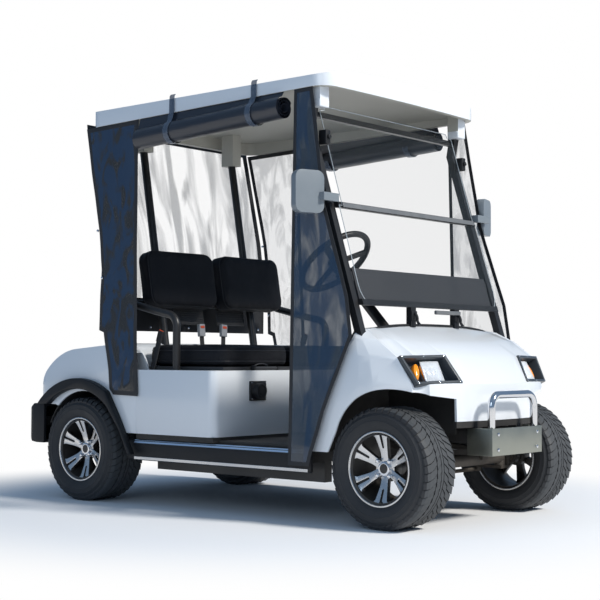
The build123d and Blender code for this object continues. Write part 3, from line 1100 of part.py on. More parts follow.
roll_rear = (quarter_front_top + 4.0, 1605.0)
roll_front = (FRONT_AXLE_X - 470.0, 1648.0)
roll_y = CURTAIN_TOP_Y - CURTAIN / 2
roll = rod((roll_rear[0] + 6.0, roll_y, roll_rear[1]), (roll_front[0], roll_y, roll_front[1]), ROLL_RADIUS)
roll_hem = side_plate([
    (roll_rear[0] + 6.0, roll_rear[1]),
    (roll_front[0], roll_front[1]),
    (roll_front[0], roof_edge_z(roll_front[0]) - top_gap),
    (roll_rear[0] + 6.0, roof_edge_z(roll_rear[0] + 6.0) - top_gap),
], roll_y - CURTAIN / 2, roll_y + CURTAIN / 2)
node("curtain_rolls", pair(roll + roll_hem))

# The rear curtain buttons onto the canopy's rear edge through a thick hem.
rear_half = CURTAIN_TOP_Y - 8.0
rear_face = [(x, z) for x, z in rear_line]
rear_back = [(x + CURTAIN, z) for x, z in reversed(rear_line)]
rear_sheet = side_plate(rear_face + rear_back, -rear_half, rear_half)
hem_x = (rear_line[0][0], ROOF_REAR_X - top_gap)
hem_half = ROOF_HALF_WIDTH - ROOF_CORNER
rear_sheet += span(hem_x, (-hem_half, hem_half), (ROOF_REAR_EDGE_Z - 2.0, ROOF_REAR_EDGE_Z + 22.0))
node("curtain_rear", rear_sheet)

# ---- Write every node ---------------------------------------------------------------------
for name, shape in nodes.items():
    export_step(shape, os.path.join("parts", name + ".step"))
print(len(nodes), "nodes")
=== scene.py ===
import bmesh
import bpy
from math import cos, hypot, pi, radians, sin, tan
from mathutils import Matrix, Vector, noise


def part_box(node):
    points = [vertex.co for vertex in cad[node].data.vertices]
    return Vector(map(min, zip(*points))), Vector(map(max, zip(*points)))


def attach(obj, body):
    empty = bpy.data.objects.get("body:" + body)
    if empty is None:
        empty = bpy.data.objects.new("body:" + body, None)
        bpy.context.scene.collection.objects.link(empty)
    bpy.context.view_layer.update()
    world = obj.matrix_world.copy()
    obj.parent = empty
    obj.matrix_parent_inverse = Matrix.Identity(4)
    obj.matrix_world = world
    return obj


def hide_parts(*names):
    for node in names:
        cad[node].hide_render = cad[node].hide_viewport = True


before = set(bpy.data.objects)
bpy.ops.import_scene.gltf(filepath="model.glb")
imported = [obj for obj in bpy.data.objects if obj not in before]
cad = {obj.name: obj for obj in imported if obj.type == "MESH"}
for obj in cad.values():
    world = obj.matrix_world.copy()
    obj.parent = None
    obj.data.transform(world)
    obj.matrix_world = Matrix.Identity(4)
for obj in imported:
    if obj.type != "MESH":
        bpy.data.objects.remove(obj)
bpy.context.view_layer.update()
scene = bpy.context.scene
scene.view_settings.view_transform = "Standard"


# ---- Camera -------------------------------------------------------------------------------
# Low and near the right front corner, so that the side, the nose and the inside of the
# canopy all show. A long lens keeps the uprights nearly upright.
def axes(x, y, z, place):
    """A matrix that lays a piece's own axes along three directions, at a place."""
    return Matrix((*zip(x, y, z, place), (0.0, 0.0, 0.0, 1.0)))


camera_data = bpy.data.cameras.new("camera")
camera_data.lens = 79.84
camera_data.sensor_width = 36.0
camera = bpy.data.objects.new("camera", camera_data)
scene.collection.objects.link(camera)
sight = Vector((-0.6456091, 0.7624996, 0.0422284))
across = Vector((0.7632794, 0.6460572, 0.0038304))
camera.matrix_world = axes(across, across.cross(sight), -sight, (3.8917, -4.5482, 0.6515))
scene.camera = camera

# ---- Chassis rails, axles and springs -----------------------------------------------------
# Welded box rails and cross members in satin black paint, with rougher iron axles, leaf
# springs and steering knuckles, all a little dusty low down.
OWN_NODES = {"shader": "Principled BSDF", "output": "Material Output", "sky": "Background", "around": "World Output"}


def start_group(name, inputs, output, output_kind):
    """An empty shader group with numbers going in and one output, and its two end nodes."""
    tree = bpy.data.node_groups.new(name, "ShaderNodeTree")
    for label, value in inputs.items():
        tree.interface.new_socket(name=label, in_out="INPUT", socket_type="NodeSocketFloat").default_value = value
    tree.interface.new_socket(name=output, in_out="OUTPUT", socket_type=output_kind)
    return tree, {"given": tree.nodes.new("NodeGroupInput"), "result": tree.nodes.new("NodeGroupOutput")}


def add(tree, kind, **settings):
    """A node with settings. A key names a property or an input; _ and a number is an input's place."""
    made = tree.nodes.new("ShaderNode" + kind)
    for key, value in settings.items():
        if hasattr(made, key):
            setattr(made, key, value)
        else:
            made.inputs[int(key[1:]) if key[1:].isdigit() else key.replace("_", " ")].default_value = value
    return made


def weave(tree, links, known=None, **kinds):
    """Make nodes, each a kind or a kind with settings, and link them as "source.output > target.input"."""
    nodes = {key: tree.nodes.get(title) for key, title in OWN_NODES.items()} | (known or {})
    for name, made in kinds.items():
        nodes[name] = add(tree, made) if isinstance(made, str) else add(tree, made[0], **made[1])
    for link in links.split(", "):
        (source, out), (target, into) = (end.split(".") for end in link.split(" > "))
        tree.links.new(nodes[source].outputs[int(out) if out.isdigit() else out],
                       nodes[target].inputs[int(into) if into.isdigit() else into])
    return nodes


# Dust: thicker towards the ground, broken up by a cloudy noise.
dust_tree, dust_ends = start_group("road_dust", {"Height": 0.5, "Amount": 0.3}, "Mask", "NodeSocketFloat")
weave(dust_tree, "place.Object > split.0, place.Object > cloud.Vector, split.Z > fall.0, given.Height > fall.1, "
      "fall.0 > low.1, low.0 > mix.0, cloud.0 > mix.1, mix.0 > end.0, given.Amount > end.1, end.0 > result.0",
      dust_ends, place="TexCoord", split="SeparateXYZ", cloud=("TexNoise", dict(Scale=9.0, Detail=6.0, Roughness=0.65)),
      fall=("Math", dict(operation="DIVIDE")), low=("Math", dict(operation="SUBTRACT", use_clamp=True, _0=1.0)),
      mix=("Math", dict(operation="MULTIPLY")), end=("Math", dict(operation="MULTIPLY", use_clamp=True)))

# Grain: a fine bump for moulded, cast or painted surfaces.
grain_tree, grain_ends = start_group("surface_grain", {"Scale": 400.0, "Strength": 0.2}, "Normal", "NodeSocketVector")
weave(grain_tree, "place.Object > fine.Vector, given.Scale > fine.Scale, fine.0 > bump.Height, "
      "given.Strength > bump.Strength, bump.0 > result.Normal", grain_ends,
      place="TexCoord", fine=("TexNoise", dict(Detail=3.0, Roughness=0.6)), bump=("Bump", dict(Distance=0.001)))


def plain(name, **values):
    """A new material, with values set on its shader."""
    material = bpy.data.materials.new(name)
    material.use_nodes = True
    for key, value in values.items():
        material.node_tree.nodes["Principled BSDF"].inputs[key.replace("_", " ")].default_value = value
    return material


def finish_of(name, colour, second, rough, rough_far, grain=None, dust=None, drift_scale=3.0, **shader_values):
    """A material whose colour and gloss drift between two values, with grain and dust laid over."""
    material = plain(name, **shader_values)
    tree = material.node_tree
    nodes = weave(tree, "place.Object > cloud.Vector, cloud.0 > tint.0, cloud.0 > gloss.Value, "
                  "gloss.0 > shader.Roughness, tint.2 > shader.Base Color", place="TexCoord",
                  cloud=("TexNoise", dict(Scale=drift_scale, Detail=5.0, Roughness=0.6)),
                  tint=("Mix", dict(data_type="RGBA", _6=(*colour, 1.0), _7=(*second, 1.0))),
                  gloss=("MapRange", dict(From_Min=0.3, From_Max=0.7, To_Min=rough, To_Max=rough_far)))
    if dust:
        height, amount, dust_colour = dust
        weave(tree, "dusty.0 > over.0, tint.2 > over.6, over.2 > shader.Base Color", nodes,
              dusty=("Group", dict(node_tree=dust_tree, Height=height, Amount=amount)),
              over=("Mix", dict(data_type="RGBA", _7=(*dust_colour, 1.0))))
    if grain:
        weave(tree, "fine.Normal > shader.Normal",
              fine=("Group", dict(node_tree=grain_tree, Scale=grain[0], Strength=grain[1])))
    return material


def coat(material, *names):
    """Give CAD nodes a finish."""
    for name in names:
        for held in cad[name].material_slots:
            held.material = material


DUST = (0.22, 0.19, 0.15)
frame_paint = finish_of("frame_paint", (0.012, 0.012, 0.013), (0.02, 0.02, 0.021), 0.32, 0.45, grain=(260.0, 0.12),
                        dust=(0.5, 0.25, DUST))
axle_iron = finish_of("axle_iron", (0.035, 0.033, 0.031), (0.075, 0.062, 0.052), 0.55, 0.75, grain=(220.0, 0.45),
                      dust=(0.6, 0.5, DUST), drift_scale=14.0, Metallic=0.35)
coat(frame_paint, "frame_rails", "frame_cross_members")
coat(axle_iron, "front_axle", "leaf_springs", "rear_axle", "drive_motor", "knuckle_left", "knuckle_right", "tie_rod")


# ---- Tyres --------------------------------------------------------------------------------
# Low, wide road tyres: a turned carcass with smooth sidewalls, a rim-guard rib and a tread
# of V-shaped blocks cut by thin grooves on both sides of a middle rib.
def loose():
    """Object mode, with nothing selected."""
    if bpy.context.object and bpy.context.object.mode != "OBJECT":
        bpy.ops.object.mode_set(mode="OBJECT")
    bpy.ops.object.select_all(action="DESELECT")


def take(piece):
    """Select one piece and make it the active one."""
    loose()
    piece.select_set(True)
    bpy.context.view_layer.objects.active = piece


def open_up(piece, select="DESELECT"):
    """Edit mode, to work on a piece's faces."""
    take(piece)
    bpy.ops.object.mode_set(mode="EDIT")
    bpy.ops.mesh.select_mode(type="FACE")
    bpy.ops.mesh.select_all(action=select)


def close_up():
    """Back to object mode."""
    bpy.ops.object.mode_set(mode="OBJECT")


def pick(piece, test, kind="faces"):
    """Select the faces, or edges, that pass a test, in edit mode."""
    bpy.ops.mesh.select_all(action="DESELECT")
    cells = bmesh.from_edit_mesh(piece.data)
    for cell in getattr(cells, kind):
        if test(cell):
            cell.select_set(True)
    bmesh.update_edit_mesh(piece.data)


def disc_end(axis, side=1):
    """A test for the many-sided end face of a disc."""
    return lambda face: len(face.verts) > 12 and face.normal[axis] * side > 0.9


def inset(rings):
    """Inset the selected faces, ring by ring, as (drop in radius, rise)."""
    for drop, rise in rings:
        bpy.ops.mesh.inset(thickness=drop, depth=rise)


def ringed(piece, test, rings):
    """Inset the faces of a closed piece that pass a test."""
    open_up(piece)
    pick(piece, test)
    inset(rings)
    close_up()


def turn_out():
    """Turn the faces of an open piece outward, and close it."""
    bpy.ops.mesh.select_all(action="SELECT")
    bpy.ops.mesh.normals_make_consistent(inside=False)
    close_up()


def bridge(piece):
    """Join the two open ends of a turned piece."""
    pick(piece, lambda edge: edge.is_boundary, "edges")
    bpy.ops.mesh.bridge_edge_loops()
    turn_out()


def named(name):
    """The active piece, with its name and its mesh's name set."""
    piece = bpy.context.object
    piece.name = name
    piece.data.name = name
    return piece


def settle(piece):
    """Put a piece's place, turn and size into its mesh."""
    take(piece)
    bpy.ops.object.transform_apply(location=True, rotation=True, scale=True)
    return piece


def smooth(piece, angle=30.0):
    take(piece)
    bpy.ops.object.shade_smooth_by_angle(angle=radians(angle))
    return piece


def changed(piece, kind, **settings):
    """Add a modifier with its settings, and apply it."""
    take(piece)
    modifier = piece.modifiers.new(kind, kind)
    for key, value in settings.items():
        setattr(modifier, key, value)
    bpy.ops.object.modifier_apply(modifier=kind)
    return piece


def bevelled(piece, width, segments=2, angle=30.0):
    """Ease the edges that are sharper than an angle."""
    return changed(piece, "BEVEL", width=width, segments=segments, limit_method="ANGLE", angle_limit=radians(angle))


FACING_Y = (pi / 2, 0, 0)


def drum(name, radius, depth, centre=(0, 0, 0), turn=FACING_Y, sides=48, bevel=0.0):
    """A round bar or disc with eased ends."""
    loose()
    bpy.ops.mesh.primitive_cylinder_add(vertices=sides, radius=radius, depth=depth, location=centre, rotation=turn)
    piece = settle(named(name))
    return bevelled(piece, bevel) if bevel else piece


def joined(name, pieces):
    """One mesh made of several."""
    loose()
    for piece in pieces:
        piece.select_set(True)
    bpy.context.view_layer.objects.active = pieces[0]
    if len(pieces) > 1:
        bpy.ops.object.join()
    return named(name)


def copy_of(piece, name, matrix):
    """A copy with its own mesh, set in place; a mirrored copy is turned the right way out."""
    made = bpy.data.objects.new(name, piece.data.copy())
    made.data.name = name
    scene.collection.objects.link(made)
    made.data.transform(matrix)
    if matrix.determinant() < 0:
        made.data.flip_normals()
    return made


def remove(*pieces):
    for piece in pieces:
        bpy.data.objects.remove(piece)


def painted(piece, *materials):
    """Give a piece these materials and no others."""
    piece.data.materials.clear()
    for material in materials:
        piece.data.materials.append(material)
    return piece


def two_tone(piece, bright, dark, test):
    """Bright on the faces that pass the test, dark on the rest."""
    painted(piece, bright, dark)
    for face in piece.data.polygons:
        face.material_index = 0 if test(face) else 1


def dressed(piece, material, slot, *stands_for, body="chassis"):
    """Give a new piece its finish, the body it rides on and the nodes it stands for."""
    if material:
        painted(piece, material)
    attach(piece, body)
    if stands_for:
        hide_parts(*stands_for)
    return piece


TYRE_R = 0.2295
CROWN_WIDTH = 0.113
TREAD = 0.005
TREAD_ROOT = 0.0024       # how deep the blocks sink into the carcass
GROOVE = 0.004            # how far each run of blocks starts behind the one before
tyre_model = drum("tyre_model", TYRE_R - TREAD, CROWN_WIDTH, sides=112)
open_up(tyre_model)
# From the tread's edge over the shoulder, the rim guard and down the sidewall to the bead.
shoulder_rings = [
    (0.0015, 0.02), (0.0065, 0.013), (0.01, 0.0085), (0.006, 0.0035), (0.001, 0.0012), (0.003, 0.0002),
    (0.001, -0.0012), (0.013, 0.0008), (0.001, 0.001), (0.0022, 0.0), (0.001, -0.001), (0.015, -0.003),
    (0.01, -0.0045), (0.008, -0.006), (0.003, 0.0012), (0.004, -0.004), (0.005, -0.009), (0.0052, -0.001)]
for side in (1, -1):
    pick(tyre_model, disc_end(1, side))
    inset(shoulder_rings)
    bpy.ops.mesh.delete(type="FACE")
bridge(tyre_model)
smooth(tyre_model, 32.0)

# One pitch of tread, run out from the middle by extruding along the crown and over the shoulder.
PITCHES = 46
pitch_length = 2 * pi * TYRE_R / PITCHES
tread_runs = [
    # start y, share of the pitch's length, then steps as (step in y, drop, skew)
    (0.0, 1.0, [(0.006, 0.0, 0.0)]),
    (0.0095, 0.88, [(0.012, 0.0, 0.01), (0.013, 0.0, 0.012)]),
    (0.038, 0.86, [(0.018, 0.0, 0.014), (0.02, -0.0015, 0.009), (0.013, -0.0065, 0.004), (0.007, -0.0085, 0.001)])]
tread_blocks = []
for side in (1, -1):
    skew_start = 0.0
    for start_y, fill, steps in tread_runs:
        loose()
        bpy.ops.mesh.primitive_plane_add(
            size=1.0, location=(skew_start, side * start_y, TYRE_R - TREAD / 2 - TREAD_ROOT / 2), rotation=FACING_Y)
        tread_block = named("tread_block")
        tread_block.scale = (pitch_length * fill, TREAD + TREAD_ROOT, 1.0)
        settle(tread_block)
        open_up(tread_block, "SELECT")
        for step_y, drop, skew in steps:
            bpy.ops.mesh.extrude_region_move(TRANSFORM_OT_translate={"value": (skew, side * step_y, drop)})
            skew_start += skew if start_y > 0.02 or start_y == 0 else 0.0
        turn_out()
        skew_start += GROOVE
        tread_blocks.append(tread_block)
tread_model = joined("tread_model", tread_blocks)


def spun(piece, count):
    """Repeat a piece round the axle."""
    open_up(piece, "SELECT")
    bpy.ops.mesh.spin(steps=count - 1, dupli=True, angle=-2 * pi * (count - 1) / count, center=(0, 0, 0),
                      axis=(0, 1, 0))
    close_up()


spun(tread_model, PITCHES)
tyre_model = joined("tyre_model", [tyre_model, tread_model])
tyre_rubber = finish_of("tyre_rubber", (0.014, 0.015, 0.017), (0.026, 0.027, 0.03), 0.55, 0.72, grain=(300.0, 0.3),
                        dust=(0.42, 0.22, (0.1, 0.1, 0.1)), drift_scale=16.0)
tread_rubber = finish_of("tread_rubber", (0.04, 0.043, 0.046), (0.072, 0.076, 0.08), 0.6, 0.75, grain=(300.0, 0.3),
                         drift_scale=16.0)
two_tone(tyre_model, tread_rubber, tyre_rubber,
         lambda face: hypot(face.center.x, face.center.z) > TYRE_R - 0.003 and abs(face.normal.y) < 0.5)
wheel_places = {"front_left": (0.8825, 0.4455, 1), "front_right": (0.8825, -0.4455, -1),
                "rear_left": (-0.7575, 0.5005, 1), "rear_right": (-0.7575, -0.5005, -1)}
for corner, (x, y, side) in wheel_places.items():
    tyre = copy_of(tyre_model, "road_tyre_" + corner, Matrix.Translation((x, y, TYRE_R)))
    dressed(tyre, None, "tyre_rubber", "tyre_" + corner, body="wheel_" + corner)
remove(tyre_model)


# ---- Rims ---------------------------------------------------------------------------------
# Cast ten-inch rims: six split spokes dished in to the hub, their faces machined bright and
# their sides and the barrel black, held by four chrome nuts round a cap.
def outlined(name, outline, depth):
    """A flat plate cut to an outline of 3-D points, then extruded by depth."""
    loose()
    bpy.ops.mesh.primitive_circle_add(vertices=len(outline), fill_type="NGON")
    piece = named(name)
    for corner, point in zip(piece.data.vertices, outline):
        corner.co = point
    open_up(piece, "SELECT")
    bpy.ops.mesh.extrude_region_move(TRANSFORM_OT_translate={"value": tuple(depth)})
    turn_out()
    return piece


def sliced(piece, axis, stations):
    """Cut a piece across an axis at each station."""
    open_up(piece)
    for station in stations:
        bpy.ops.mesh.select_all(action="SELECT")
        bpy.ops.mesh.bisect(plane_co=[station if k == axis else 0.0 for k in range(3)],
                            plane_no=[float(k == axis) for k in range(3)])
    close_up()


machined = finish_of("machined_alloy", (0.6, 0.6, 0.6), (0.72, 0.71, 0.7), 0.2, 0.32, grain=(900.0, 0.1),
                     dust=(0.3, 0.12, DUST), drift_scale=20.0, Metallic=1.0)
wheel_black = finish_of("wheel_black", (0.01, 0.01, 0.011), (0.022, 0.021, 0.021), 0.32, 0.5, grain=(300.0, 0.12),
                        dust=(0.4, 0.45, DUST), drift_scale=12.0)
chrome_nut = finish_of("chrome_nut", (0.62, 0.64, 0.68), (0.72, 0.74, 0.78), 0.1, 0.2, drift_scale=30.0, Metallic=1.0)

BARREL_R, BARREL_WIDTH, FLANGE_R = 0.1272, 0.168, 0.1428
barrel = drum("barrel", BARREL_R, BARREL_WIDTH, sides=96)
open_up(barrel)
for side in (1, -1):
    pick(barrel, disc_end(1, side))
    bpy.ops.mesh.extrude_region_move()
    bpy.ops.transform.resize(value=(FLANGE_R / BARREL_R, 1.0, FLANGE_R / BARREL_R), center_override=(0, 0, 0))
    bpy.ops.mesh.extrude_region_move(TRANSFORM_OT_translate={"value": (0, side * 0.0075, 0)})
    inset([(0.0015, 0.0006), (0.004, -0.0002), (0.0016, -0.003), (0.0075, -0.005), (0.003, -0.035), (0.006, -0.035)])
    bpy.ops.mesh.delete(type="FACE")
bridge(barrel)
two_tone(barrel, machined, wheel_black,
         lambda face: abs(face.center.y) > 0.088 and hypot(face.center.x, face.center.z) > 0.134)


SPOKES = 6
SPOKE_THICK = 0.02
HUB_FACE, DISH_RISE = 0.05, 0.03      # how far outboard the spokes' face lies at the hub, and its rise from there


def dish(radius):
    """How far outboard the spoke face lies at a radius: low at the hub, up to the lip."""
    return HUB_FACE + DISH_RISE * max(0.0, (radius - 0.04) / 0.09) ** 1.25


# Half of a spoke's outline as (radius, half width): out along its flank, back along its slot.
spoke_half = [(0.022, 0.015), (0.058, 0.0158), (0.075, 0.0182), (0.092, 0.0215), (0.11, 0.025), (0.1185, 0.0275),
              (0.1235, 0.0345), (0.13, 0.0385), (0.13, 0.0058), (0.118, 0.0052), (0.095, 0.0047), (0.079, 0.0042),
              (0.0765, 0.002)]
spoke_line = spoke_half + [(r, -t) for r, t in reversed(spoke_half)]
# The face is cut flat, sliced across and then bent up to its dish.
spoke = outlined("spoke", [(t, 0.0, r) for r, t in spoke_line], (0, -SPOKE_THICK, 0))
sliced(spoke, 2, (0.04, 0.058, 0.07, 0.082, 0.095, 0.108, 0.119))
for corner in spoke.data.vertices:
    corner.co.y += dish(corner.co.z)
bevelled(spoke, 0.0013, 2, 35.0)
two_tone(spoke, machined, wheel_black, lambda face: face.normal.y > 0.72)
slot_floor = outlined("slot_floor", [(-0.0062, 0.0, 0.074), (-0.0066, 0.0, 0.131), (0.0066, 0.0, 0.131),
                                     (0.0062, 0.0, 0.074)], (0, -0.006, 0))
for corner in slot_floor.data.vertices:
    corner.co.y += dish(corner.co.z) - 0.009
spoke = joined("spoke", [spoke, painted(slot_floor, wheel_black)])
spun(spoke, SPOKES)

hub_disc = drum("hub_disc", 0.043, 0.05, (0, 0.023, 0), bevel=0.002)
ringed(hub_disc, disc_end(1), [(0.009, 0.0), (0.0015, -0.0035), (0.0035, 0.0)])
two_tone(hub_disc, machined, wheel_black, lambda face: face.normal.y > 0.8 and face.center.y > 0.0455)
hub_barrel = painted(drum("hub_barrel", 0.032, 0.046, (0, -0.022, 0), bevel=0.001), wheel_black)
cap = drum("cap", 0.027, 0.012, (0, 0.052, 0), bevel=0.0025)
ringed(cap, disc_end(1), [(0.006, 0.0), (0.0012, -0.0012), (0.006, 0.0006)])
two_tone(cap, chrome_nut, wheel_black, lambda face: hypot(face.center.x, face.center.z) > 0.0195)
wheel_bits = [barrel, spoke, hub_disc, hub_barrel, cap]
NUT_CIRCLE = 0.0385
for index in range(4):
    angle = radians(45 + 90 * index)
    seat_x, seat_z = NUT_CIRCLE * cos(angle), NUT_CIRCLE * sin(angle)
    well = drum("nut_well", 0.0115, 0.006, (seat_x, 0.0465, seat_z), sides=24, bevel=0.001)
    nut = drum("nut", 0.0088, 0.018, (seat_x, 0.056, seat_z), sides=6, bevel=0.0014)
    ringed(nut, lambda face: face.normal.y > 0.95, [(0.0022, 0.0018)])
    wheel_bits += [painted(well, wheel_black), painted(nut, chrome_nut)]
valve = drum("valve", 0.0028, 0.026, (0.0, 0.076, -0.1205), (radians(62), 0, radians(30)), 12, 0.0006)
rim_model = smooth(joined("rim_model", wheel_bits + [painted(valve, wheel_black)]), 32.0)
for corner, (x, y, side) in wheel_places.items():
    turn = Matrix.Rotation(0.0 if side > 0 else pi, 4, "Z")
    rolled_on = Matrix.Rotation(radians(0.0 if "front" in corner else 8.0), 4, "Y")
    rim = copy_of(rim_model, "alloy_rim_" + corner, Matrix.Translation((x, y, TYRE_R)) @ turn @ rolled_on)
    dressed(rim, None, "alloy_rim", "rim_" + corner, body="wheel_" + corner)
remove(rim_model)


# ---- Floor, sills and wheelhouses ---------------------------------------------------------
# A moulded black floor with a ribbed rubber mat, and black liners over the wheels. Black
# sills carry a thin bright strip along their lower edge and a bright trim along the upper.
MERGE = 0.00002
FLAT_SEAM = radians(0.6)


def shell(name, source, width, finish, slot, segments=3, angle=28.0, body="chassis"):
    """A CAD shell with its edges eased: merged, cleared of flat seams, bevelled, and standing for its node."""
    piece = bpy.data.objects.new(name, cad[source].data.copy())
    piece.data.name = name
    scene.collection.objects.link(piece)
    open_up(piece, "SELECT")
    bpy.ops.mesh.remove_doubles(threshold=MERGE)
    bpy.ops.mesh.dissolve_limited(angle_limit=FLAT_SEAM)
    close_up()
    if piece.data.has_custom_normals:
        bpy.ops.mesh.customdata_custom_splitnormals_clear()
    smooth(bevelled(piece, width, segments, angle), 32.0)
    return dressed(piece, finish, slot, source, body=body)


def block(name, low, high, bevel=0.0, segments=2):
    """A rectangular blank between two corners, with its edges eased."""
    loose()
    bpy.ops.mesh.primitive_cube_add(size=1.0, location=[(a + b) / 2 for a, b in zip(low, high)],
                                    scale=[b - a for a, b in zip(low, high)])
    piece = settle(named(name))
    return bevelled(piece, bevel, segments) if bevel else piece


black_moulding = finish_of("black_moulding", (0.008, 0.009, 0.011), (0.014, 0.015, 0.018), 0.45, 0.58,
                           grain=(520.0, 0.3), dust=(0.4, 0.1, DUST), drift_scale=5.0, Specular_IOR_Level=0.3)
black_liner = finish_of("black_liner", (0.008, 0.008, 0.009), (0.016, 0.015, 0.015), 0.6, 0.8, grain=(300.0, 0.4),
                        dust=(0.7, 0.3, DUST), drift_scale=8.0)
coat(black_liner, "wheel_liners", "rear_wheel_liners", "floor_pan", "front_valance", "firewall")
floor_rubber = finish_of("floor_rubber", (0.018, 0.018, 0.019), (0.032, 0.031, 0.03), 0.6, 0.75, grain=(240.0, 0.3),
                         dust=(0.6, 0.4, DUST), drift_scale=6.0)
weave(floor_rubber.node_tree, "place.Object > ribs.Vector, ribs.1 > bump.Height, bump.0 > shader.Normal",
      place="TexCoord", ribs=("TexWave", dict(bands_direction="Y", Scale=12.0)),
      bump=("Bump", dict(Strength=0.8, Distance=0.003)))
coat(floor_rubber, "floor_mat")
shell("rocker_sills", "sills", 0.008, black_moulding, "black_trim")
bright_strip = finish_of("bright_strip", (0.5, 0.51, 0.53), (0.66, 0.67, 0.68), 0.22, 0.35, grain=(600.0, 0.08),
                         dust=(0.4, 0.2, DUST), drift_scale=10.0, Metallic=1.0)
# Bright metal trim whose blue base colour is a painted reflection of the sky.
edge_trim_painted_sky = finish_of("edge_trim_painted_sky", (0.7, 0.82, 1.0), (0.8, 0.9, 1.0), 0.3, 0.42, grain=(600.0, 0.08), drift_scale=10.0,
                      Metallic=1.0)
SIDES = ((1, "left"), (-1, "right"))
sill_low, sill_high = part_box("sills")
TRIM_BACK, TRIM_FRONT = 0.05, 0.012      # how far the trims stop short of the sills' ends
trim_length = sill_high.x - sill_low.x - (TRIM_BACK + TRIM_FRONT)
for side, label in SIDES:
    edge = sill_high.y * side
    span_y = sorted((edge - 0.004 * side, edge + 0.003 * side))
    strip = block("sill_strip_" + label, (sill_low.x + TRIM_BACK, span_y[0], sill_low.z + 0.0035),
                  (sill_high.x - TRIM_FRONT, span_y[1], sill_low.z + 0.0165), 0.0012)
    dressed(strip, bright_strip, "bright_steel")
    # The upper trim is an L of bright sheet whose sloping face looks up at the sky; its blue tint is a painted sky
    # reflection.
    lip = [(sill_low.x + TRIM_BACK, edge + out * side, sill_high.z + up) for out, up in (
        (-0.016, 0.0012), (-0.004, 0.0012), (0.003, -0.013), (-0.001, -0.013), (-0.016, -0.001))]
    dressed(outlined("sill_edge_" + label, lip, (trim_length, 0, 0)), edge_trim_painted_sky, "bright_steel")

# ---- White body: rear body, seat pod and cowl ---------------------------------------------
# Vacuum-formed white panels with a hard gloss, rounded corners and a return lip. The rear
# body swells over the wheels, and the pod carries the seats and the charging port.
white_gloss = finish_of("white_gloss", (0.74, 0.77, 0.8), (0.79, 0.81, 0.83), 0.16, 0.26, grain=(24.0, 0.05),
                        dust=(0.42, 0.16, DUST), drift_scale=1.6, Coat_Weight=0.35, Coat_Roughness=0.06)
shell("rear_shell", "rear_body", 0.007, white_gloss, "white_shell")
pod_shell = shell("pod_shell", "seat_pod", 0.007, white_gloss, "white_shell")
POD_TOP = 0.5925          # the hinge lugs stand above it and are painted black
two_tone(pod_shell, white_gloss, frame_paint, lambda face: face.center.z <= POD_TOP)
shell("cowl_shell", "front_cowl", 0.01, white_gloss, "white_shell")
battery_black = finish_of("battery_black", (0.012, 0.012, 0.014), (0.03, 0.03, 0.03), 0.5, 0.7, grain=(200.0, 0.3),
                          drift_scale=9.0)
coat(battery_black, "battery_pack")

# The haunches' arches wear black flares, screwed on through their faces.
shell("arch_flares", "flares", 0.006, black_moulding, "black_trim")

# ---- Charging port ------------------------------------------------------------------------
# A black square plate moulded for the pod's side, with a round, knurled cap and a screw in
# each corner.
FACING_X = (0, radians(90), 0)


def studs(name, radius, depth, places, sides, bevel):
    """Screws, snaps or bolts of one size, joined: each place is (centre, turn)."""
    return smooth(joined(name, [drum("stud", radius, depth, centre, turn, sides, bevel) for centre, turn in places]))


shell("charge_port", "charging_port", 0.003, black_moulding, "black_trim")
port_ring = drum("port_cap", 0.0305, 0.007, (0.0915, -0.309, 0.503), FACING_X, 36, 0.0018)
ringed(port_ring, disc_end(0), [(0.005, 0.0), (0.0016, -0.0022), (0.008, 0.0), (0.0015, 0.0016)])
dressed(smooth(port_ring), black_moulding, "black_trim")
port_screws = studs("port_screws", 0.0038, 0.003, [((0.0665, y, z), FACING_X) for y in (-0.344, -0.258)
                                                    for z in (0.469, 0.537)], 16, 0.0008)
dressed(port_screws, chrome_nut, "bright_steel")

# ---- Headlights ---------------------------------------------------------------------------
# A slanted black bezel holds a square lamp with a stepped reflector and a small amber marker
# outboard of it. Six small screws hold each bezel.
FACING_Z = (0, 0, 0)
LAMP_TOP_IN = Vector((0.9905, 0.267, 0.654))
LAMP_LOW_IN = Vector((1.0545, 0.236, 0.546))
LAMP_LOW_OUT = Vector((1.0065, 0.468, 0.542))
lamp_x = (LAMP_LOW_OUT - LAMP_LOW_IN).normalized()
lamp_z = (lamp_x.cross(LAMP_TOP_IN - LAMP_LOW_IN)).normalized()
if lamp_z.x < 0:
    lamp_z = -lamp_z
lamp_seat = axes(lamp_x, lamp_z.cross(lamp_x), lamp_z, (LAMP_TOP_IN + LAMP_LOW_OUT) / 2)
bezel_grey = finish_of("bezel_grey", (0.03, 0.038, 0.047), (0.048, 0.057, 0.068), 0.28, 0.4, grain=(500.0, 0.15),
                       drift_scale=8.0)
shell("lamp_bezels", "headlight_bezels", 0.003, bezel_grey, "black_trim")
bezel_corners = [LAMP_LOW_IN, LAMP_LOW_OUT, LAMP_TOP_IN + LAMP_LOW_OUT - LAMP_LOW_IN, LAMP_TOP_IN]
bezel_flat = [lamp_seat.inverted() @ corner for corner in bezel_corners]
bezel_middle = sum(bezel_flat, Vector()) / 4
bezel_screws = []
for index, here in enumerate(bezel_flat):
    spots = [here.lerp(bezel_middle, 0.085)]
    if index in (0, 2):
        spots.append(((here + bezel_flat[(index + 1) % 4]) / 2).lerp(bezel_middle, 0.1))
    for spot in spots:
        screw = drum("bezel_screw", 0.0036, 0.003, (spot.x, spot.y, 0.0145), FACING_Z, 16, 0.0008)
        screw.data.transform(lamp_seat)
        bezel_screws += [screw, copy_of(screw, "bezel_screw_far", Matrix.Scale(-1, 4, (0, 1, 0)))]
dressed(smooth(joined("bezel_screws", bezel_screws)), chrome_nut, "black_trim")


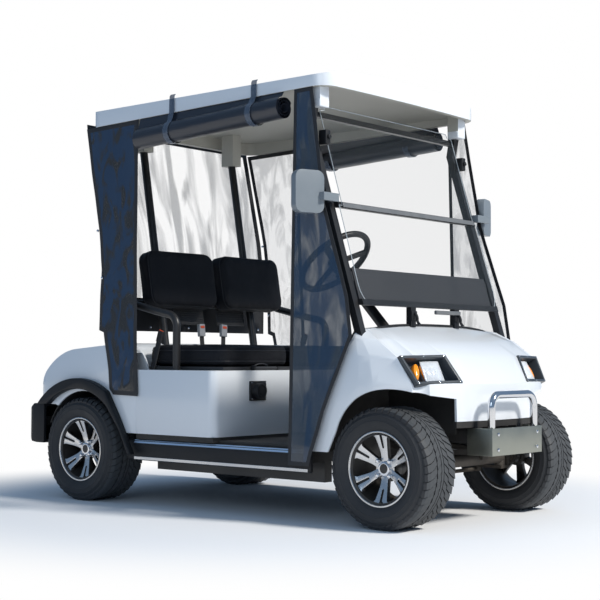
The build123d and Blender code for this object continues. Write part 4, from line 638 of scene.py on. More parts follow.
def see_through(name, colour, rough, alpha, alpha_edge):
    """A clear moulded or rolled plastic that thickens towards its grazing edges."""
    material = plain(name, Base_Color=(*colour, 1.0))
    weave(material.node_tree, "edge.Facing > span.Value, span.0 > shader.Alpha, place.Object > smear.Vector, "
          "smear.0 > gloss.Value, gloss.0 > shader.Roughness",
          edge=("LayerWeight", dict(Blend=0.35)), span=("MapRange", dict(To_Min=alpha, To_Max=alpha_edge)),
          place="TexCoord", smear=("TexNoise", dict(Scale=7.0, Detail=4.0)),
          gloss=("MapRange", dict(To_Min=rough, To_Max=rough + 0.1)))
    return material


def at_lamp(piece, name, flip):
    """Move a lamp's part to its place, on the side that flip gives."""
    piece.data.transform(lamp_seat)
    made = copy_of(piece, name, flip)
    remove(piece)
    return made


lamp_clear = see_through("lamp_clear", (0.92, 0.95, 0.98), rough=0.02, alpha=0.22, alpha_edge=0.8)
amber_clear = finish_of("amber_clear", (0.85, 0.25, 0.015), (0.95, 0.36, 0.03), 0.1, 0.2, grain=(90.0, 0.25),
                        drift_scale=60.0, Emission_Color=(0.9, 0.25, 0.01, 1.0), Emission_Strength=0.12)
reflector_bright = finish_of("reflector_bright", (0.74, 0.77, 0.8), (0.88, 0.9, 0.93), 0.12, 0.24, grain=(60.0, 0.4),
                             drift_scale=40.0, Metallic=1.0)
FLUTES = 12
MARKER_R, MARKER_X, MARKER_Y = 0.0185, 0.0545, 0.004
for side, label in SIDES:
    flip = Matrix.Scale(side, 4, (0, 1, 0))
    # A bright tub with a round bulb hood, under a clear square cover, sliced into upright strips and domed.
    tub = block("lamp_tub", (-0.064, -0.0405, -0.033), (0.0285, 0.0405, -0.0085), 0.004, 3)
    ringed(tub, lambda face: face.normal.z > 0.95 and face.calc_area() > 0.001,
           [(0.0035, 0.0), (0.005, -0.008), (0.011, -0.007), (0.009, -0.002)])
    hood = drum("lamp_hood", 0.015, 0.01, (-0.018, 0.0, -0.0205), FACING_Z, 32, 0.003)
    lamp = smooth(joined("lamp_reflector", [tub, hood]), 40.0)
    dressed(at_lamp(lamp, "lamp_reflector_side_" + label, flip), reflector_bright, "lamp_glass", "headlamp_lenses")
    cover = block("lamp_cover", (-0.0655, -0.0415, -0.008), (0.0295, 0.0415, -0.0045), 0.0012)
    sliced(cover, 0, [-0.0655 + 0.095 * index / FLUTES for index in range(1, FLUTES)])
    for corner in cover.data.vertices:
        bow = 1.0 - ((corner.co.x + 0.018) / 0.048) ** 2 * 0.6 - (corner.co.y / 0.042) ** 2 * 0.4
        corner.co.z += 0.0045 * max(bow, 0.0)
    dressed(at_lamp(smooth(cover, 30.0), "lamp_cover_" + label, flip), lamp_clear, "lamp_glass")
    # The marker is a domed amber teardrop.
    marker = drum("lamp_marker", MARKER_R, 0.02, (MARKER_X, MARKER_Y, -0.022), FACING_Z, 40, 0.0045)
    ringed(marker, disc_end(2), [(0.004, 0.0016), (0.004, 0.0009)])
    for corner in marker.data.vertices:
        rise = (corner.co.y - MARKER_Y) / MARKER_R
        corner.co.y = MARKER_Y + (corner.co.y - MARKER_Y) * 1.85
        slim = 0.78 - 0.24 * max(-rise, 0.0)
        corner.co.x = MARKER_X + (corner.co.x - MARKER_X) * slim - 0.009 * rise
    dressed(at_lamp(smooth(marker, 40.0), "amber_marker_" + label, flip), amber_clear, "amber_lens", "marker_lenses")

# ---- Dash, pedals and steering ------------------------------------------------------------
# A dark dash panel behind the windshield, two pedals, and a steering column at a steep angle
# under a soft-grip wheel. The wheel is on the cart's right.
dash_black = finish_of("dash_black", (0.02, 0.021, 0.024), (0.034, 0.035, 0.04), 0.45, 0.6, grain=(420.0, 0.35),
                       drift_scale=4.0)
coat(dash_black, "dash")
coat(axle_iron, "pedals")
coat(frame_paint, "steering_column")
grip_black = finish_of("grip_black", (0.012, 0.012, 0.013), (0.022, 0.022, 0.024), 0.42, 0.55, grain=(650.0, 0.35),
                       drift_scale=8.0)
shell("steering_grip", "steering_wheel", 0.0015, grip_black, "black_trim", body="steering_wheel")


# ---- Windshield and its frame -------------------------------------------------------------
# Square black uprights carry a two-part clear screen between thin black bars. The upper half
# folds down on the middle bar. Small clips and blocks hold the pane edges.
def tube_along(name, points, radius, closed=True, sides=3, smooth_line=False):
    """A welt, wire or band that follows a line of points."""
    line = bpy.data.curves.new(name, "CURVE")
    line.dimensions = "3D"
    line.bevel_depth = radius
    line.bevel_resolution = sides
    line.use_fill_caps = not closed
    run = line.splines.new("NURBS" if smooth_line else "POLY")
    run.points.add(len(points) - 1)
    for spot, point in zip(run.points, points):
        spot.co = (*point, 1.0)
    if smooth_line:
        run.order_u = 3
        run.use_endpoint_u = True
    run.use_cyclic_u = closed
    piece = bpy.data.objects.new(name, line)
    scene.collection.objects.link(piece)
    take(piece)
    bpy.ops.object.convert(target="MESH")
    return smooth(named(name), 40.0)


SCREEN_X, SCREEN_FOOT_Z, SCREEN_LEAN = 0.7745, 0.85, 0.3007


def on_screen(y, z, ahead=0.0):
    """A point on the windshield's face, which leans back as it rises."""
    return (SCREEN_X - (z - SCREEN_FOOT_Z) * SCREEN_LEAN + ahead, y, z)


def both_ways(line, *middle):
    """A line of (y, z) on the right, then its mirror image on the left."""
    return line + list(middle) + [(-y, z) for y, z in reversed(line)]


coat(frame_paint, "front_struts", "windshield_bars")
coat(black_moulding, "windshield_feet")
screen_clear = see_through("screen_clear", (0.06, 0.07, 0.075), rough=0.02, alpha=0.03, alpha_edge=0.18)
coat(screen_clear, "windshield_lower", "windshield_upper")
# The panes' sawn edges catch the light as thin pale lines.
pane_edge = finish_of("pane_edge", (0.42, 0.47, 0.5), (0.6, 0.64, 0.66), 0.18, 0.3, grain=(700.0, 0.15),
                      drift_scale=30.0)
lower_edge = [(-0.4885, 1.244), (-0.4885, 0.935), (-0.484, 0.902), (-0.472, 0.878), (-0.452, 0.862),
              (-0.42, 0.854)]
upper_edge = [(-0.469, 1.2485), (-0.469, 1.634), (-0.439, 1.637), (-0.439, 1.645), (-0.43, 1.6545)]
for label, edge_line in (("lower", lower_edge), ("upper", upper_edge)):
    rim_line = [on_screen(y, z, -0.0025) for y, z in both_ways(edge_line)]
    dressed(tube_along("screen_edge_" + label, rim_line, 0.0017), pane_edge, "clear_screen")
# A seal along the fold, a black clip on each upright, and a pull catch on the bottom bar.
FOLD_Z = 1.247
fold_seal = finish_of("fold_seal", (0.1, 0.105, 0.11), (0.17, 0.175, 0.18), 0.35, 0.5, grain=(500.0, 0.2),
                      drift_scale=12.0)
seal = block("fold_seal", (-0.47, -0.003, -0.0095), (0.47, 0.0035, 0.0095), 0.0018, 3)
for corner in seal.data.vertices:
    y, ahead, up = corner.co
    corner.co = on_screen(y, FOLD_Z + up, ahead + 0.0005)
dressed(seal, fold_seal, "black_frame")
for side, label in SIDES:
    clip = block("screen_clip_" + label, (0.556, 0.47, 1.49), (0.596, 0.5, 1.548), 0.005, 3)
    knob = drum("clip_knob", 0.009, 0.012, (0.599, 0.485, 1.52), FACING_X, 24, 0.002)
    clip = smooth(joined("screen_clip_" + label, [clip, knob]))
    clip.data.transform(Matrix.Scale(side, 4, (0, 1, 0)))
    if side < 0:
        clip.data.flip_normals()
    dressed(clip, black_moulding, "black_frame")
catch = block("screen_catch", (0.776, -0.015, 0.825), (0.79, 0.165, 0.842), 0.004, 3)
dressed(smooth(catch), fold_seal, "black_frame")
# A black rubber seal edges the cowl under the screen, and a hooked latch stands on each foot.
seal_line = both_ways([(-0.47, 0.744), (-0.41, 0.759), (-0.29, 0.773), (-0.15, 0.7785)], (0.0, 0.7795))
cowl_seal = tube_along("cowl_seal", [(0.752 + (z - 0.716) * 0.1486, y, z) for y, z in seal_line], 0.0065, False,
                       smooth_line=True)
dressed(cowl_seal, black_moulding, "black_trim")
LATCH_Y, LEG_Y = 0.157, 0.49
for side, label in SIDES:
    latch_line = [(x, side * LATCH_Y, z) for x, z in (
        (0.77, 0.83), (0.786, 0.824), (0.794, 0.808), (0.792, 0.792), (0.805, 0.78))]
    latch = tube_along("screen_latch_" + label, latch_line, 0.0058, False, smooth_line=True)
    hinge_plate = block("latch_plate", (0.77, side * LATCH_Y - 0.019, 0.796),
                        (0.78, side * LATCH_Y + 0.019, 0.836), 0.003)
    dressed(smooth(joined("screen_latch_" + label, [latch, hinge_plate])), black_moulding, "black_trim")
# White caps close the canopy legs over the uprights.
for side, label in SIDES:
    leg_cap = block("leg_cap_" + label, (0.522, side * LEG_Y - 0.03, 1.6385),
                    (0.5815, side * LEG_Y + 0.03, 1.672), 0.006, 3)
    dressed(smooth(leg_cap), white_gloss, "white_shell")

# ---- Mirrors ------------------------------------------------------------------------------
# A grey moulded head on each upright, with a black rubber rim and foot and a short arm.
mirror_grey = finish_of("mirror_grey", (0.16, 0.185, 0.205), (0.22, 0.245, 0.265), 0.28, 0.4, grain=(400.0, 0.15),
                        drift_scale=5.0)
HEAD_X, HEAD_Y, TOE = 0.6085, 0.628, radians(18.0)


def mirror_shell(face):
    """False on the black rim round the glass, at the back of a head, and on the arm's rubber foot."""
    out = abs(face.center.y)
    behind = (face.center.x - HEAD_X) * cos(TOE) + (out - HEAD_Y) * sin(TOE)
    black_foot = out < 0.545 and face.center.x < 0.64
    return not (out > 0.555 and behind < -0.0035 or black_foot)


two_tone(shell("mirror_heads", "mirrors", 0.012, None, "grey_shell", 4), mirror_grey, black_moulding, mirror_shell)

# ---- Canopy -------------------------------------------------------------------------------
# One white moulded roof with a soft crown and a deep turned-down edge, with four legs that reach
# down from it to the uprights. Faces under the roof and on the legs that look down or inward carry
# a darker beige-grey: painted shade.
# A darker beige-grey that paints the shade under the roof.
roof_underside_painted_shade = finish_of("roof_underside_painted_shade", (0.42, 0.4, 0.34), (0.5, 0.48, 0.42), 0.4, 0.55, grain=(60.0, 0.1),
                       drift_scale=2.0)
roof_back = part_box("roof")[0].x


def over_canopy(face):
    """False on the underside and the legs, which take the painted shade: faces that look down or inward, away from the
    outer wall.
    """
    near_front = face.center.x > 0.59 - 0.3 * face.center.y ** 2
    if near_front or face.center.x < roof_back + 0.02 or abs(face.center.y) > 0.53:
        return face.normal.x * (face.center.x - 0.1) + face.normal.y * face.center.y >= -0.05
    return not (face.normal.z < -0.2 or face.center.z < 1.765 and abs(face.normal.z) < 0.75)


two_tone(shell("canopy_shell", "roof", 0.012, None, "white_shell", 4, 24.0), white_gloss, roof_underside_painted_shade, over_canopy)


# ---- Seats --------------------------------------------------------------------------------
# Two cushions on a painted board that tips up, and two backrests on the back rails: black
# vinyl over foam, with a welt round each face, a loop to lift the board and belt buckles.
def rounded_rectangle(half_u, half_v, radius, steps=8):
    """Points round a rectangle with round corners, anticlockwise."""
    points = []
    for quarter, (side_u, side_v) in enumerate([(1, 1), (-1, 1), (-1, -1), (1, -1)]):
        for step in range(steps + 1):
            angle = (quarter + step / steps) * pi / 2
            points.append((side_u * (half_u - radius) + radius * cos(angle),
                           side_v * (half_v - radius) + radius * sin(angle)))
    return points


FOAM_CELL, SEAM_DRAW, PUCKER = 0.0075, 0.0032, 0.0022


def stuffed(name, half_u, half_v, thick, radius, edge, cap_move, seam_w):
    """A foam pad under vinyl: blown up a little, flat on its back, drawn in along its welt."""
    piece = outlined(name, [(u, v, -thick / 2) for u, v in rounded_rectangle(half_u, half_v, radius)], (0, 0, thick))
    bevelled(piece, edge, 4, 60.0)
    changed(piece, "REMESH", mode="VOXEL", voxel_size=FOAM_CELL)
    start = [corner.co.copy() for corner in piece.data.vertices]
    air = piece.modifiers.new("air", "CLOTH")
    air.settings.use_pressure = True
    air.settings.uniform_pressure_force = 4.0
    air.settings.effector_weights.gravity = 0.0
    for step in range(1, 21):
        scene.frame_set(step)
    bpy.ops.object.modifier_apply(modifier="air")
    scene.frame_set(1)
    for corner, first in zip(piece.data.vertices, start):
        move = corner.co - first
        if move.length > cap_move:
            corner.co = first + move.normalized() * cap_move
    for corner in piece.data.vertices:
        u, v, w = corner.co
        reach = max(abs(u) / half_u, abs(v) / half_v)
        drawn_in = sum(2.7 ** (-((w - line) / 0.0055) ** 2) for line in (seam_w, -seam_w))
        corner.co -= Vector((u, v, 0.0)).normalized() * SEAM_DRAW * drawn_in * min(reach, 1.0)
        pucker = noise.fractal(Vector((u * 9.0, v * 9.0, w * 26.0)), 0.8, 2.1, 3)
        corner.co += corner.normal * PUCKER * pucker
        corner.co.z = max(corner.co.z, -thick / 2 - 0.0055)
    smooth(changed(piece, "SUBSURF", levels=1), 180.0)
    # The welt lies in the seam: rays from outside find where the vinyl is at that height.
    scene.view_layers[0].update()
    welts = []
    for line in (seam_w, -seam_w):
        hits = [piece.ray_cast(Vector((u, v, line)), -Vector((u, v, 0.0)).normalized())
                for u, v in rounded_rectangle(half_u + 0.05, half_v + 0.05, radius + 0.05, 14)]
        welts.append(tube_along("welt", [spot for hit, spot, _, _ in hits if hit], 0.0024, smooth_line=True))
    return piece, joined(name + "_welt", welts)


seat_vinyl = finish_of("seat_vinyl", (0.007, 0.008, 0.011), (0.011, 0.012, 0.016), 0.55, 0.7, drift_scale=7.0,
                       Specular_IOR_Level=0.22)
weave(seat_vinyl.node_tree, "place.Object > cells.Vector, place.Object > folds.Vector, cells.Distance > grain.Height, "
      "folds.0 > bump.Height, grain.0 > bump.Normal, bump.0 > shader.Normal",
      place="TexCoord", cells=("TexVoronoi", dict(Scale=420.0)),
      folds=("TexNoise", dict(Scale=26.0, Detail=4.0, Distortion=0.6)),
      grain=("Bump", dict(Strength=0.35, Distance=0.0006)), bump=("Bump", dict(Strength=0.25, Distance=0.003)))
welt_grey = finish_of("welt_grey", (0.012, 0.013, 0.017), (0.019, 0.021, 0.027), 0.45, 0.55, grain=(900.0, 0.2),
                      drift_scale=20.0)
seat_board = finish_of("seat_board", (0.02, 0.022, 0.026), (0.036, 0.038, 0.042), 0.45, 0.6, grain=(300.0, 0.25),
                       drift_scale=8.0)
coat(seat_board, "seat_base")
coat(frame_paint, "seat_frame")
cushion_model, cushion_welt = stuffed("cushion_model", half_u=0.238, half_v=0.224, thick=0.082, radius=0.05,
                                      edge=0.02, cap_move=0.007, seam_w=0.023)
rest_model, rest_welt = stuffed("rest_model", half_u=0.2125, half_v=0.131, thick=0.083, radius=0.05,
                                edge=0.013, cap_move=0.005, seam_w=0.027)
back_lean = radians(9.83)
up_back = (-sin(back_lean), 0.0, cos(back_lean))
out_back = (cos(back_lean), 0.0, sin(back_lean))
rest_seat = axes((0, 1, 0), up_back, out_back, (-0.49785, 0.2315, 0.9975))
for side, label in SIDES:
    flip = Matrix.Scale(side, 4, (0, 1, 0))
    for model, edging, place, what, node, body in (
            (cushion_model, cushion_welt, Matrix.Translation((-0.2195, 0.249, 0.652)), "seat_pad_", "seat_cushion_",
             "seat_lid"),
            (rest_model, rest_welt, rest_seat, "back_pad_", "backrest_", "chassis")):
        pad = dressed(copy_of(model, what + label, flip @ place), seat_vinyl, "seat_vinyl", node + label, body=body)
        dressed(copy_of(edging, what + "welt_" + label, flip @ place), welt_grey, "seat_vinyl", body=body)
remove(cushion_model, cushion_welt, rest_model, rest_welt)

# A wire loop on the board's front edge lifts it, and two ribbed plates close the back rail.
lift_line = [(0.02, -0.296, 0.608), (0.033, -0.296, 0.608), (0.035, -0.286, 0.614), (0.035, -0.252, 0.62),
             (0.035, -0.218, 0.614), (0.033, -0.208, 0.608), (0.02, -0.208, 0.608)]
dressed(tube_along("lift_loop", lift_line, 0.0032, False, 4, True), welt_grey, "seat_vinyl", body="seat_lid")
plate_grey = finish_of("plate_grey", (0.04, 0.041, 0.044), (0.065, 0.064, 0.064), 0.5, 0.65, grain=(300.0, 0.3),
                       drift_scale=9.0)
plate_lean = axes((0, 1, 0), up_back, out_back, (-0.5485, 0.0, 0.842))
for place_y, label in ((0.17, "left"), (-0.112, "right")):
    bits = [block("back_plate", (-0.096, -0.044, -0.0035), (0.096, 0.044, 0.0005), 0.0008)]
    for index in range(8):
        height = -0.036 + index * 0.0103
        bits.append(block("rib", (-0.092, height - 0.0024, -0.0004), (0.092, height + 0.0024, 0.003), 0.0016, 3))
    bits.append(block("rib_clip", (-0.015, 0.038, -0.002), (0.015, 0.056, 0.005), 0.0012))
    plate = smooth(joined("back_plate_" + label, bits), 35.0)
    plate.data.transform(Matrix.Translation((0, place_y, 0)) @ plate_lean)
    dressed(plate, plate_grey, "black_trim")

# Belt buckles: grey heads on webbing from the well behind the cushions, and a taller stalk
# outboard of the driver's cushion with a red release button.
webbing = finish_of("webbing", (0.016, 0.017, 0.02), (0.026, 0.027, 0.03), 0.75, 0.85, grain=(700.0, 0.5),
                    drift_scale=30.0)
buckle_grey = finish_of("buckle_grey", (0.3, 0.31, 0.33), (0.4, 0.41, 0.43), 0.3, 0.42, grain=(500.0, 0.15),
                        drift_scale=30.0)
button_red = finish_of("button_red", (0.55, 0.06, 0.02), (0.7, 0.1, 0.03), 0.3, 0.4, grain=(500.0, 0.1),
                       drift_scale=30.0)


def buckle(name, foot, head, width, tall):
    """A belt receiver on a short strap: strap, shell with a mouth in its top, release button."""
    run = Vector(head) - Vector(foot)
    lift = run.normalized()
    span_y = Vector((0, 1, 0)) - lift * lift.y
    span_y.normalize()
    seat = axes(span_y, lift, span_y.cross(lift), head)
    strap = block(name + "_strap", (-width * 0.36, -run.length, -0.0012), (width * 0.36, 0.006, 0.0012), 0.0004)
    case = block(name, (-width / 2, 0.0, -0.0095), (width / 2, tall, 0.0095), 0.004, 3)
    ringed(case, lambda face: face.normal.y > 0.95, [(0.0028, 0.0), (0.0012, -0.007)])
    smooth(case, 35.0)
    button = block(name + "_button", (-width * 0.34, tall * 0.66, 0.0085), (width * 0.34, tall * 0.86, 0.0112), 0.001)
    for piece, finish in ((strap, webbing), (case, buckle_grey), (button, button_red)):
        piece.data.transform(seat)
        dressed(piece, finish, "black_trim")


buckle("buckle_inner_right", (-0.472, -0.092, 0.64), (-0.477, -0.098, 0.742), 0.038, 0.058)
buckle("buckle_inner_left", (-0.472, 0.042, 0.64), (-0.477, 0.048, 0.742), 0.038, 0.058)
stalk_bits = [
    (block("belt_stalk", (-0.013, -0.13, -0.0038), (0.013, 0.0, 0.0038), 0.0025, 3), webbing),
    (block("belt_stalk_head", (-0.0165, -0.005, -0.005), (0.0165, 0.048, 0.005), 0.003, 3), grip_black),
    (block("belt_stalk_button", (-0.012, 0.043, -0.0036), (0.012, 0.05, 0.0036), 0.001), button_red)]
stalk_seat = (Matrix.Translation((-0.354, -0.49, 0.715)) @ Matrix.Rotation(radians(18.0), 4, "Y")
              @ Matrix.Rotation(radians(90.0), 4, "X"))
for side, label in SIDES:
    flip = Matrix.Scale(-side, 4, (0, 1, 0))
    for part, finish in stalk_bits:
        dressed(copy_of(part, part.name + "_" + label, flip @ stalk_seat), finish, "black_trim")
remove(*[part for part, finish in stalk_bits])


# ---- Side and rear curtains ---------------------------------------------------------------
# Clear roll-up film sewn into black borders. Quarters hang behind the doorways, front panels
# fill the gap to the uprights, and one sheet closes the back above the deck.
def film_of(name, colour, second, alpha, alpha_far, stretch, scale, rough):
    """Flexible clear film: cloudy patches of colour that paint reflections and shade on its creases, drifting clearness
    and soft upright creases.
    """
    material = plain(name, Roughness=rough)
    nodes = weave(
        material.node_tree, "place.Object > pull.Vector, pull.0 > cloud.Vector, cloud.0 > split.0, "
        "split.0 > shader.Base Color, cloud.0 > clear.Value, clear.0 > shader.Alpha, cloud.0 > crease.Height, "
        "crease.0 > shader.Normal", place="TexCoord", pull=("Mapping", dict(Scale=stretch)),
        cloud=("TexNoise", dict(Scale=scale, Detail=3.0, Distortion=1.2)), split="ValToRGB",
        clear=("MapRange", dict(From_Min=0.46, From_Max=0.62, To_Min=alpha, To_Max=alpha_far)),
        crease=("Bump", dict(Strength=0.5, Distance=0.006)))
    for stop, place, tone in zip(nodes["split"].color_ramp.elements, (0.47, 0.56), (colour, second)):
        stop.position = place
        stop.color = (*tone, 1.0)
    return material


FILM = 0.0016          # how thick the curtains' film is
FADE = 0.06            # how far inside the border the ripples reach their full height


def sheet_of(name, outline, hem, cells, place, film, border):
    """A flat cut with a sewn border, divided finely, then hung by a rule that gives each point its place."""
    low = [min(point[k] for point in outline) for k in (0, 1)]
    high = [max(point[k] for point in outline) for k in (0, 1)]
    loose()
    bpy.ops.mesh.primitive_circle_add(vertices=len(outline), fill_type="NGON")
    piece = painted(named(name), border, film)
    for corner, (u, v) in zip(piece.data.vertices, outline):
        corner.co = (u, v, 0.0)
    open_up(piece, "SELECT")
    inset([(hem, 0.0)])
    piece.active_material_index = 1
    bpy.ops.object.material_slot_assign()
    for axis in (0, 1):
        count = int((high[axis] - low[axis]) / cells[axis])
        sliced(piece, axis, [low[axis] + (high[axis] - low[axis]) * index / count for index in range(1, count)])
    area = sum(face.area for face in piece.data.polygons)
    for corner in piece.data.vertices:
        u, v, _ = corner.co
        inside = min(u - low[0], high[0] - u, v - low[1], high[1] - v, FADE) / FADE
        corner.co = place(u, v, max(inside, 0.0))
    smooth(changed(piece, "SOLIDIFY", thickness=FILM, offset=0.0), 40.0)
    return piece, area, (high[0] - low[0], high[1] - low[1])


curtain_black = finish_of("curtain_black", (0.01, 0.011, 0.013), (0.02, 0.021, 0.025), 0.5, 0.62, grain=(600.0, 0.4),
                          drift_scale=14.0)
# The right side's films: dark painted shade with blue patches of painted sky reflection.
quarter_film_painted_sky = film_of("quarter_film_painted_sky", (0.026, 0.05, 0.095), (0.042, 0.038, 0.034), alpha=0.985, alpha_far=0.94,
                       stretch=(1.0, 1.0, 0.45), scale=14.0, rough=0.14)
quarter_clear = film_of("quarter_clear", (0.5, 0.54, 0.58), (0.3, 0.33, 0.37), alpha=0.12, alpha_far=0.3,
                        stretch=(1.0, 1.0, 0.35), scale=12.0, rough=0.1)
front_film_painted_sky = film_of("front_film_painted_sky", (0.03, 0.058, 0.102), (0.068, 0.086, 0.108), alpha=0.86, alpha_far=0.66,
                     stretch=(1.2, 1.2, 0.3), scale=10.0, rough=0.1)
rear_film = film_of("rear_film", (0.72, 0.74, 0.76), (0.26, 0.29, 0.33), alpha=0.04, alpha_far=0.34,
                    stretch=(1.4, 1.4, 0.16), scale=5.5, rough=0.08)
HANG = tan(radians(1.56))
EAVES_Y = 0.545


def hung(side, seed, swell):
    """Places a side curtain's point: it leans out a little towards its foot and ripples between its borders."""
    def rule(x, z, inside):
        ripple = noise.fractal(Vector((x * 7.0 + seed, z * 2.2, seed)), 0.9, 2.0, 3)
        return (x, side * (EAVES_Y + HANG * (1.69 - z) + swell * ripple * inside), z)
    return rule


quarter_cut = [(-0.7835, 1.689), (-0.6805, 1.218), (-0.6565, 1.039), (-0.6585, 0.765), (-0.6255, 0.755),
               (-0.5875, 0.587), (-0.5775, 0.506), (-0.5515, 0.479), (-0.3925, 0.475), (-0.4095, 0.72),
               (-0.4275, 1.204), (-0.4375, 1.6963)]
front_cut = [(0.4675, 1.7141), (0.5615, 1.716), (0.6376, 1.247), (0.7601, 0.88), (0.7825, 0.73), (0.6525, 0.44),
             (0.5825, 0.226), (0.4775, 0.226)]
for side, label in SIDES:
    # The right side's films are painted darker and bluer than the left side's: painted shade, with blue patches of
    # painted sky reflection.
    side_film, end_film = (quarter_film_painted_sky, front_film_painted_sky) if side < 0 else (quarter_clear, quarter_clear)
    quarter, area, flat = sheet_of("curtain_quarter_" + label, quarter_cut, 0.02, (0.026, 0.026),
                                   hung(side, 3.1 * side, 0.006), side_film, curtain_black)
    dressed(quarter, None, "clear_curtain", *(["curtain_quarters"] if side > 0 else []))
    panel, area, flat = sheet_of("curtain_front_" + label, front_cut, 0.016, (0.024, 0.03),
                                 hung(side, 7.7 * side, 0.005), end_film, curtain_black)
    dressed(panel, None, "clear_curtain", *(["curtain_fronts"] if side > 0 else []))

rear_line = [(-0.789, 1.712), (-0.7875, 1.69), (-0.6845, 1.219), (-0.6605, 1.04), (-0.6625, 0.765)]
rear_steps = [0.0]
for (x0, z0), (x1, z1) in zip(rear_line, rear_line[1:]):
    rear_steps.append(rear_steps[-1] + hypot(x1 - x0, z1 - z0))


def across_back(y, down, inside):
    """Places a point of the rear curtain, which follows the rear uprights' bent line."""
    depth = min(max(-down, 0.0), rear_steps[-1] - 1e-6)
    index = max(k for k in range(4) if rear_steps[k] <= depth)
    share = (depth - rear_steps[index]) / (rear_steps[index + 1] - rear_steps[index])
    (x0, z0), (x1, z1) = rear_line[index], rear_line[index + 1]
    ripple = noise.fractal(Vector((y * 6.0, down * 1.4, 0.4)), 0.9, 2.0, 3)
    return (x0 + (x1 - x0) * share + 0.007 * ripple * inside, y, z0 + (z1 - z0) * share)


REAR_HALF = 0.54
rear_cut = [(-REAR_HALF, 0.0), (REAR_HALF, 0.0), (REAR_HALF, -rear_steps[-1]), (-REAR_HALF, -rear_steps[-1])]
rear_sheet, area, flat = sheet_of("curtain_rear_sheet", rear_cut, 0.03, (0.03, 0.03), across_back, rear_film,
                                  curtain_black)
dressed(rear_sheet, None, "clear_curtain", "curtain_rear")
# The sheet's lower band is black cloth, held to the deck and the posts by snaps.
BAND_TOP = 0.905
for face in rear_sheet.data.polygons:
    if face.center.z < BAND_TOP:
        face.material_index = 0
snap_places = [((-0.6635, y, 0.785), FACING_X) for y in (-0.5, -0.25, 0.0, 0.25, 0.5)]
snap_places += [((-0.648, side * 0.564, z), FACING_Y) for side in (-1, 1) for z in (0.86, 1.0)]
snap_places += [((-0.687, side * 0.558, 1.215), FACING_Y) for side in (-1, 1)]
dressed(studs("curtain_snaps", 0.0065, 0.006, snap_places, 20, 0.0015), chrome_nut, "clear_curtain")


# ---- Rolled door curtains -----------------------------------------------------------------
# The door curtains are rolled up under the canopy's edge: one sheet each, wound in about five
# turns from a hem that hangs on the edge, held by two looped straps.
def streaked(material, pull, detail, distortion, strength, distance):
    """Lay a stretched noise over a finish as its bump."""
    weave(material.node_tree, "place.Object > pull.Vector, pull.0 > streaks.Vector, streaks.0 > bump.Height, "
          "bump.0 > shader.Normal", place="TexCoord", pull=("Mapping", dict(Scale=pull)),
          streaks=("TexNoise", dict(Scale=6.0, Detail=detail, Distortion=distortion)),
          bump=("Bump", dict(Strength=strength, Distance=distance)))


roll_film = finish_of("roll_film", (0.01, 0.014, 0.024), (0.024, 0.029, 0.041), 0.3, 0.44, drift_scale=5.0,
                      Coat_Weight=0.15, Coat_Roughness=0.1)
streaked(roll_film, (0.6, 6.0, 6.0), 3.0, 0.8, 0.45, 0.006)
strap_smoke = see_through("strap_smoke", (0.1, 0.13, 0.18), rough=0.15, alpha=0.62, alpha_edge=0.85)
ROLL_REAR, ROLL_FRONT = Vector((-0.4275, 0.0, 1.605)), Vector((0.4125, 0.0, 1.648))
ROLL_TURNS = 5.25
ROLL_IN, ROLL_OUT = 0.015, 0.0462
ROLL_Y = 0.5465
STRAP_R, STRAP_WIDTH = 0.05, 0.03
HEM_STEPS, WIND_STEPS = 6, 150
ROWS = HEM_STEPS + WIND_STEPS


def roofline(x):
    return 1.69 + (x + 0.7695) / 1.394 * 0.028


def roll_point(row, top):
    """Where a row of the sheet lies from the axis, out and up: wound from the middle, then straight up the hem."""
    share = min(row / WIND_STEPS, 1.0)
    radius = ROLL_IN + (ROLL_OUT - ROLL_IN) * share
    angle = radians(78.0) - 2 * pi * ROLL_TURNS * (1.0 - share)
    out, up = radius * cos(angle), radius * sin(angle)
    if row <= WIND_STEPS + 0.5:
        return out, up
    share = (row - WIND_STEPS) / HEM_STEPS
    return out + (-0.0025 - out) * share, up + (top - up) * share


def grid_of(name, across, along):
    """A square sheet of one metre, divided both ways."""
    loose()
    bpy.ops.mesh.primitive_grid_add(x_subdivisions=across, y_subdivisions=along, size=1.0)
    return named(name)


